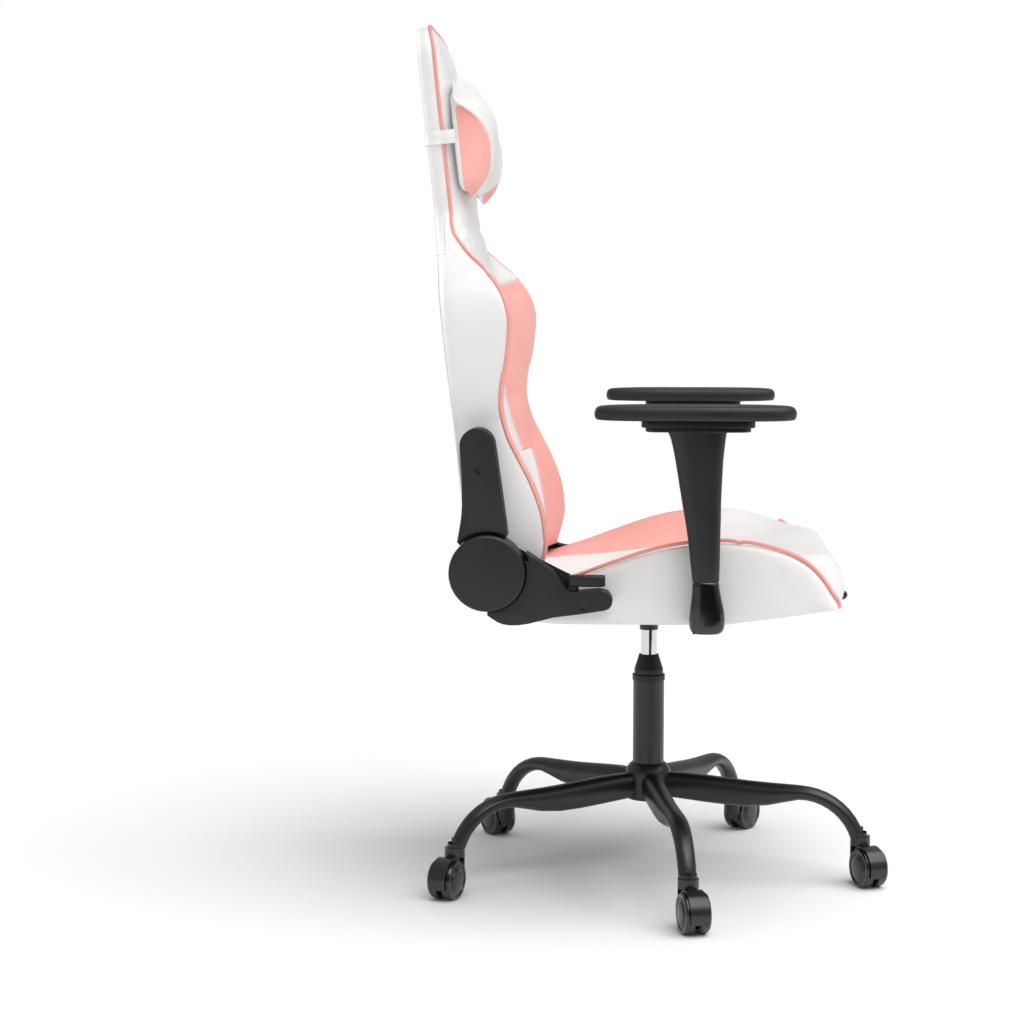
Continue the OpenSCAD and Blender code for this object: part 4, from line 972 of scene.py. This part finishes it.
# hinge covers: the outline of each, then bevelled
cover = {"low": 261.2, "high": 290.9, "bevel": 3.2, "capR": 46, "discR": 45.5, "discHigh": 275.6}
coverCrest = {
    "Right": [(-46, 25), (-62.5, 14), (-79, 3), (-87, -9), (-95, -20), (-101, -22.6), (-108, -23),
              (-121, -21.4), (-134, -20), (-144, -22.5), (-148.5, -28)],
    "Left": [(-45.6, -14), (-49, -19), (-62, -24), (-79, -27), (-95, -29), (-134, -29), (-145, -28.8),
             (-149, -30.5)],
}
coverFoot = [(-150, -34), (-149.3, -38), (-146, -42), (-140, -44.3), (-110, -49), (-79, -53),
             (-63, -57.4), (-49, -61), (-38, -62.7), (-27, -63), (-19, -61.8), (-12, -59), (-5, -54.6),
             (0, -51)]
slotWall = [(-36.5, 27), (-101, -5), (-110, -24), (-95, -34), (-44, -30), (-45.4, 0)]


def arcPoints(radius, start, end, count):
    return [(radius * math.cos(math.radians(a)), radius * math.sin(math.radians(a)))
            for a in np.linspace(start, end, count)]


def atHinge(outline):
    return [(y + chair["hingeY"], z + chair["hingeZ"]) for y, z in outline]


def joinPieces(objs, name):
    activate(objs[0])
    for obj in objs:
        obj.select_set(True)
    bpy.context.view_layer.objects.active = objs[0]
    bpy.ops.object.join()
    joined = bpy.context.object
    joined.name = name
    return joined


lowerDisc = arcPoints(cover["discR"], 0, 355, 72)
for side, word, arcs in ((1, "Left", arcPoints(47.3, -90, -163, 30)),
                         (-1, "Right", arcPoints(47.3, -90, -197, 40) + arcPoints(52.3, -196, -207, 5))):
    parts = [plateFromOutline("lowerArm", atHinge(coverCrest[word] + coverFoot + arcs), cover["low"],
                              cover["high"], cover["bevel"]),
             plateFromOutline("lowerDisc", atHinge(lowerDisc), cover["low"], cover["discHigh"], 1.2, 2)]
    boltHole(parts[0], 289, 76, 394, 4.9, 8)
    parts.append(plateFromOutline("armWall", atHinge(coverCrest[word] + coverFoot
                                                     + arcPoints(45.2, -90, -190, 30)),
                                  cover["low"], cover["discHigh"], 1.0, 2))
    if side < 0:
        parts.append(plateFromOutline("slotWall", atHinge(slotWall), cover["low"], 264, 0.6, 2))
    lower = joinPieces(parts, "lowerCover" + word)
    if side < 0:
        lower.data.transform(Matrix.Scale(-1, 4, (1, 0, 0)))
        recalcNormals(lower)
    finishPiece(lower, "lowerCover" + word, "seat", coverPlastic, ["seat_cover_" + word.lower()],
                40)

tip = [(-4 + 21 * math.cos(a), 153 + 21 * math.sin(a))
       for a in np.linspace(math.radians(178), math.radians(6), 22)]
upperRear = [(17.2, 148), (18.2, 120), (20, 100), (21.6, 84), (24, 70), (26.6, 60), (29.4, 50),
             (32.5, 39.5)]
upperFront = [(-28.7, 42), (-28.3, 55), (-27.7, 76), (-26.9, 100), (-26.1, 124), (-25.3, 145)]
arcIn = arcPoints(49.6, 52, 123, 24)
arcInner = arcPoints(46.1, 50, 122, 24)
upperArm = leaning(plateFromOutline("upperCover", tip + upperRear + arcIn + upperFront, cover["low"],
                                    cover["high"], cover["bevel"]))
discRing = arcPoints(cover["discR"], 0, 355, 72)
upperInner = leaning(plateFromOutline("upperInner", tip + upperRear + arcInner + upperFront, cover["low"],
                                      cover["high"] - 7, 1.0, 2))
upperDisc = leaning(plateFromOutline("upperDisc", discRing, 276.4, 279.9, 0.8, 2))
screwAt = backToChair(289, -3, 124) / mm
for part, depth in ((upperArm, 8), (upperInner, 8)):
    boltHole(part, screwAt.x, screwAt.y, screwAt.z, 5.0, depth)
upperLeft = joinPieces([upperArm, upperInner, upperDisc], "upperCoverLeft")
upperRight = mirrored(upperLeft, "upperCoverRight")
finishPiece(upperLeft, "upperCoverLeft", "backrest", coverPlastic, ["back_cover_left"], 40)
finishPiece(upperRight, "upperCoverRight", "backrest", coverPlastic, ["back_cover_right"],
            40)

capRing = arcPoints(cover["capR"], 0, 356.25, 96)
capLeft = leaning(plateFromOutline("capLeft", capRing, 279.9, 301.2, 4.2, 5))
capRight = mirrored(capLeft, "capRight")
finishPiece(capLeft, "hingeCapLeft", "backrest", coverPlastic, [], 40)
finishPiece(capRight, "hingeCapRight", "backrest", coverPlastic, ["hinge_caps"], 40)

# recessed screws in the covers: socket heads
def socketScrew(name, x, y, z, side, body):
    deselect()
    bpy.ops.mesh.primitive_circle_add(vertices=32, radius=3.9 * mm, fill_type="NGON")
    obj = bpy.context.object
    bpy.ops.object.mode_set(mode="EDIT")
    bpy.ops.mesh.select_all(action="SELECT")
    bpy.ops.mesh.extrude_region_move(TRANSFORM_OT_translate={"value": (0, 0, 1.8 * mm)})
    bpy.ops.mesh.inset(thickness=0.5 * mm)
    bpy.ops.transform.translate(value=(0, 0, 0.4 * mm))
    bpy.ops.mesh.inset(thickness=1.3 * mm)
    bpy.ops.mesh.extrude_region_move(TRANSFORM_OT_translate={"value": (0, 0, -1.4 * mm)})
    bpy.ops.object.mode_set(mode="OBJECT")
    recalcNormals(obj)
    obj.data.transform(Matrix.Rotation(side * math.pi / 2, 4, "Y"))
    obj.data.transform(Matrix.Translation(Vector((side * x, y, z)) * mm))
    return finishPiece(obj, name, body, blackOxide, angle=30)


for side, word in ((1, "Left"), (-1, "Right")):
    socketScrew("coverScrewUpper" + word, 279.8, screwAt.y, screwAt.z, side, "backrest")
    socketScrew("coverScrewLower" + word, 280.8, 76, 394, side, "seat")
print("hinge covers ready")

def flatSection(z, cx, cy, halfX, halfY, power, count=48):
    return ((cx, cy, z), (1, 0, 0), (0, 1, 0), ovalRing(count, halfX, halfY, power))


arm = {"x": 278}
postRows = [(424.4, -69.2, 15.8, 11.6, 3.2), (426.5, -69.2, 16.2, 12.2, 3.2),
            (450, -68.2, 17.8, 13.2, 3.4), (474, -67, 19.2, 14, 3.6), (498, -65.5, 21.4, 14.8, 3.8),
            (522, -63.5, 23.6, 15.6, 4), (546, -62, 26, 16.4, 4.2), (570, -60.6, 28.6, 17.2, 4.4),
            (586, -59.8, 31, 17.9, 4.4), (596, -59.2, 32.8, 18.3, 4.4), (603, -58.2, 34.8, 18.8, 4.4),
            (604, -58, 35, 18.9, 4.4)]
post = sectionsMesh("armPost", [flatSection(z, arm["x"], cy, halfX, halfY, power)
                                for z, cy, halfY, halfX, power in postRows])
postTwin = mirrored(post, "armPostRight")
finishPiece(post, "armPostLeft", "seat", satinPlastic, ["arm_post_left"], 40)
finishPiece(postTwin, "armPostRight", "seat", satinPlastic, ["arm_post_right"], 40)

footRows = [(361.4, -71, 12, 9, 2.6), (361.8, -71, 14.5, 11, 2.6), (363.2, -71, 17.5, 12.8, 2.8),
            (366.5, -71, 20, 14.2, 3), (371, -71, 21.2, 14.9, 3.2), (380, -71.2, 21.6, 15, 3.2),
            (390, -71, 20.6, 14.8, 3.2), (400, -70.4, 18.9, 14.2, 3.2), (410, -69.9, 17.3, 13.6, 3.2),
            (419, -69.4, 16.5, 13.1, 3.2), (422.6, -69.2, 16.2, 12.8, 3.2),
            (424, -69.2, 15.2, 11.8, 3.2)]
foot = sectionsMesh("armFoot", [flatSection(z, arm["x"], cy, halfX, halfY, power)
                                for z, cy, halfY, halfX, power in footRows])
footTwin = mirrored(foot, "armFootRight")
finishPiece(foot, "armFootLeft", "seat", glossPlastic, [], 40)
finishPiece(footTwin, "armFootRight", "seat", glossPlastic, ["arm_feet"], 40)

padRows = [(617.2, 0.90, 0.965), (617.8, 0.94, 0.978), (619.6, 0.975, 0.99), (622.4, 0.995, 0.998),
           (625.6, 1.0, 1.0), (629.0, 0.992, 0.997), (632.0, 0.965, 0.987), (634.2, 0.92, 0.968),
           (635.4, 0.82, 0.93), (635.9, 0.62, 0.82), (636.0, 0.3, 0.5)]
pads = {"halfX": 41.6, "halfY": 120, "y": -55.5, "dish": 1.6, "waist": 0.05}
sections = []
for z, shareX, shareY in padRows:
    ring = []
    for u, v in ovalRing(96, pads["halfX"] * shareX, pads["halfY"] * shareY, 3.0):
        narrowing = 1 - pads["waist"] * (1 - (v / pads["halfY"]) ** 2)
        ring.append((u * narrowing, v))
    sections.append(((arm["x"], pads["y"], z), (1, 0, 0), (0, 1, 0), ring))
padLeft = sectionsMesh("armPadLeft", sections)
for vertex in padLeft.data.vertices:                   # a shallow dish for the forearm, ends turned down
    y = (vertex.co.y / mm - pads["y"]) / pads["halfY"]
    if vertex.co.z > 633.5 * mm:
        vertex.co.z -= pads["dish"] * (1 - y * y) * max(0, 1 - abs(vertex.co.x / mm - arm["x"]) / 34) * mm
    vertex.co.z -= 2.2 * max(0, abs(y) - 0.55) ** 1.5 * mm * (1 if vertex.co.z > 621 * mm else -0.6)
subdivide(padLeft, 1)
padRight = mirrored(padLeft, "armPadRight")
finishPiece(padLeft, "armPadLeft", "seat", armPolyurethane, ["armpad_left"], 60)
finishPiece(padRight, "armPadRight", "seat", armPolyurethane, ["armpad_right"], 60)

for name, halfX, halfY, low, high, corner in (("padPlateLow", 28, 62.5, 604.1, 609.1, 9),
                                              ("padPlateHigh", 32, 67.5, 609.2, 617.1, 10)):
    ring = ovalRing(72, halfX, halfY, 5.5)
    rows = [(low, 0.97), (low + 0.8, 1.0), (high - 0.8, 1.0), (high, 0.985)]
    plate = sectionsMesh(name, [((arm["x"], -59, z), (1, 0, 0), (0, 1, 0),
                                 [(u * k, v * k) for u, v in ring])
                                for z, k in rows])
    twin = mirrored(plate, name + "Right")
    finishPiece(plate, name + "Left", "seat", satinPlastic, [], 40)
    finishPiece(twin, name + "Right", "seat", satinPlastic, ["pad_plates"] if name == "padPlateLow" else [],
                40)
print("armrests ready")

legs = {"turn": 28.5, "neckTop": 62}
legPath = [(16, 121, 4, 27.5, 33), (30, 120.4, 4, 27.5, 33.5), (52, 119, 4, 27.8, 35),
           (76, 116.8, 4, 27.8, 35.8), (104, 114.2, 4, 27.6, 35.4), (132, 112.2, 3, 27.2, 34.2),
           (160, 112.6, 1, 26.4, 30), (184, 114.8, -1, 25.6, 23.5), (200, 116, 0, 25, 19.4)]
bendZ = legs["neckTop"] - 26
for tilt in (8, 16, 24, 32, 40, 48, 56, 64, 72, 78):
    a = math.radians(tilt)
    legPath.append((200 + 80 * math.sin(a), bendZ + 80 * math.cos(a), tilt, 25 - 3 * tilt / 90, 18.6))
legPath += [(279.4, 67, 88, 22, 18.6), (280, 62.1, 90, 22, 18.6)]
for index in range(5):
    sections = []
    for y, z, tilt, width, depth in legPath:
        a = math.radians(tilt)
        share = max(0, min(1, (190 - y) / 90))
        power = 2.0 + 1.0 * share
        ring = []
        for u, v in ovalRing(36, width / 2, depth / 2, power):
            crease = 0.14 * share * (1 if v > 0 else 0.4)
            ring.append((u * (1 - crease * (v / depth * 2) ** 2), v))
        sections.append(((0, y, z), (1, 0, 0), (0, math.sin(a), math.cos(a)), ring))
    leg = sectionsMesh("leg", sections)
    leg.data.transform(Matrix.Rotation(math.radians(legs["turn"] + 72 * index), 4, "Z"))
    finishPiece(leg, "baseLeg%d" % (index + 1), "base", blackPowder, ["leg_%d" % (index + 1)],
                50)

hubRows = [(101, 26.5), (101.6, 28.2), (103, 29.4), (105, 30), (118, 30.2), (136, 30.2), (139.5, 29.6),
           (143, 27.6), (147, 24.6), (149, 22.4), (149.4, 20.7)]
hub = sectionsMesh("baseHub", [flatSection(z, 0, 0, r, r, 2, 72) for z, r in hubRows])
finishPiece(hub, "baseHub", "base", blackPowder, ["base_hub"], 40)
print("base ready")

headings = [158, 196, 204, 325, 35]
for index in range(5):
    turn = math.radians(legs["turn"] + 72 * index)
    stem = Vector((-280 * math.sin(turn), 280 * math.cos(turn), 0))
    heading = math.radians(headings[index])
    trail = Vector((math.cos(heading), math.sin(heading), 0))
    axle = Vector((math.sin(heading), -math.cos(heading), 0))
    for side, word in ((1, "left"), (-1, "right")):
        out = axle * side
        centre = stem + trail * 23 + Vector((0, 0, 25)) + out * (3.5 + 13)
        rows = [(15.4, -1.2), (15.2, -0.2), (14.6, 0.45), (12.4, 0.95), (9, 1.35), (5, 1.6), (1.2, 1.7)]
        disc = sectionsMesh("disc", [(centre + out * high, tuple(trail), (0, 0, 1), ovalRing(40, r, r, 2))
                                     for r, high in rows])
        body = "wheel_%s_%d" % (word, index + 1)
        finishPiece(disc, "wheelDisc_%s_%d" % (word, index + 1), body, casterPlastic, [],
                    45)
print("casters ready")

gripRing = ovalRing(36, 8.2, 7.0, 5)
gripRows = [(94, 0.9), (92.8, 1.0), (62, 1.0), (53, 0.97), (50.8, 0.86)]
grip = sectionsMesh("reclineGrip", [((-277.4, y, 424.2), (1, 0, 0), (0, 0, 1),
                                     [(u * k, v * k) for u, v in gripRing])
                                    for y, k in gripRows])
neckOutline = [(102, 398), (100.5, 393.4), (97, 391), (93, 391.4), (90, 394.5), (88.4, 403), (86, 411),
               (82, 417.5), (86, 422), (93.6, 421), (97, 414), (100, 406)]
armLow = plateFromOutline("reclineArm", neckOutline, -284.5, -270.3, 1.5, 3)
reclineLever = joinPieces([grip, armLow], "reclineLever")
finishPiece(reclineLever, "reclineLever", "recline_lever", satinPlastic, ["recline_lever"],
            40)

finishes = {
    "column_tube": blackPowder, "dust_cap": coverPlastic, "guide_bush": satinPlastic,
    "thrust_bearing": zincSteel,
    "piston_rod": chromePlate, "gas_cylinder": chromePlate, "seat_plate": mattSteel, "seat_pan": mattSteel,
    "seat_bolts": zincSteel, "arm_bars": mattSteel, "seat_brackets": mattSteel, "hinge_pins": zincSteel,
    "lift_lever": mattSteel, "lift_grip": satinPlastic, "release_pin": chromePlate, "back_frame": mattSteel,
    "back_brackets": mattSteel, "back_bolts": zincSteel,
}
for index in range(1, 6):
    finishes["caster_hood_%d" % index] = casterPlastic
    finishes["caster_pins_%d" % index] = zincSteel
    finishes["wheel_left_%d" % index] = glossPlastic
    finishes["wheel_right_%d" % index] = glossPlastic
for name, material in finishes.items():
    node = nodes[name]
    if not node.data.materials:
        node.data.materials.append(material)
    for k in range(len(node.material_slots)):
        node.material_slots[k].material = material
print("finishes ready")

studio = {"floor": "#fdfdfc", "floorSize": 60, "dome": 25, "fill": 0.40, "key": 2.45, "keySoft": 65,
          "head": 8, "headSize": 0.9}
deselect()
bpy.ops.mesh.primitive_plane_add(size=studio["floorSize"], location=(0, 0, 0))
floor = bpy.context.object
floor.name = "floor"
floorPaint = newMaterial("paleFloor", studio["floor"], 0.7)[0]
floor.data.materials.append(floorPaint)

deselect()
bpy.ops.mesh.primitive_uv_sphere_add(segments=48, ring_count=24, radius=studio["dome"])
backdrop = bpy.context.object
backdrop.name = "backdrop"
glow = bpy.data.materials.new("paleBackdrop")
glow.use_nodes = True
glow.node_tree.nodes.clear()
shine = addNode(glow.node_tree, "Emission", None, {"Color": (1, 1, 1, 1), "Strength": 1.0})
addNode(glow.node_tree, "OutputMaterial", {"Surface": shine.outputs["Emission"]})
backdrop.data.materials.append(glow)
backdrop.visible_diffuse = False
backdrop.visible_glossy = False
backdrop.visible_shadow = False
backdrop.visible_transmission = False

world = bpy.data.worlds.new("studio")
bpy.context.scene.world = world
world.use_nodes = True
background = world.node_tree.nodes["Background"]
background.inputs["Color"].default_value = (1, 1, 1, 1)
background.inputs["Strength"].default_value = studio["fill"]


def softSun(name, towards, power, softness):
    lamp = bpy.data.lights.new(name, "SUN")
    lamp.energy = power
    lamp.angle = math.radians(softness)
    obj = bpy.data.objects.new(name, lamp)
    bpy.context.scene.collection.objects.link(obj)
    obj.location = Vector(towards) * -3
    obj.rotation_euler = Vector(towards).to_track_quat("-Z", "Y").to_euler()
    return obj


softSun("keyFront", (0.22, 0.36, -0.95), studio["key"], studio["keySoft"])
headLamp = bpy.data.lights.new("headSoft", "AREA")
headLamp.energy = studio["head"]
headLamp.size = studio["headSize"]
headLight = bpy.data.objects.new("headSoft", headLamp)
bpy.context.scene.collection.objects.link(headLight)
headLight.location = (-1.7, -0.5, 2.3)
headLight.rotation_euler = (Vector((0, 0.2, 1.05)) - headLight.location).to_track_quat("-Z", "Y").to_euler()

# a dark card behind the camera, seen only in reflections, keeps the black parts deep
deselect()
bpy.ops.mesh.primitive_plane_add(size=1, location=(-4.4, -0.7, 1.1), rotation=(0, math.pi / 2, 0))
darkCard = bpy.context.object
darkCard.name = "darkCard"
darkCard.scale = (3.4, 3.2, 1)
cardPaint = newMaterial("blackCard", "#101010", 0.9)[0]
deselect()
bpy.ops.mesh.primitive_plane_add(size=1, location=(-1.5, -1.0, 0.26), rotation=(0, math.pi / 2, 0))
lowCard = bpy.context.object
lowCard.name = "lowCard"
lowCard.scale = (0.5, 1.9, 1)
for card in (darkCard, lowCard):
    card.data.materials.append(cardPaint)
    card.visible_camera = False
    card.visible_diffuse = False
    card.visible_shadow = False

camera = bpy.data.cameras.new("camera")
camera.lens = 81.0
camera.sensor_width = 36
cameraObject = bpy.data.objects.new("camera", camera)
bpy.context.scene.collection.objects.link(cameraObject)
cameraObject.location = (-3.024, -0.02, 0.758)
cameraObject.rotation_euler = (math.radians(90 - 5.22), 0, math.radians(-90 + 3.81))
bpy.context.scene.camera = cameraObject
bpy.context.scene.view_settings.view_transform = "Standard"

print("scene ready")
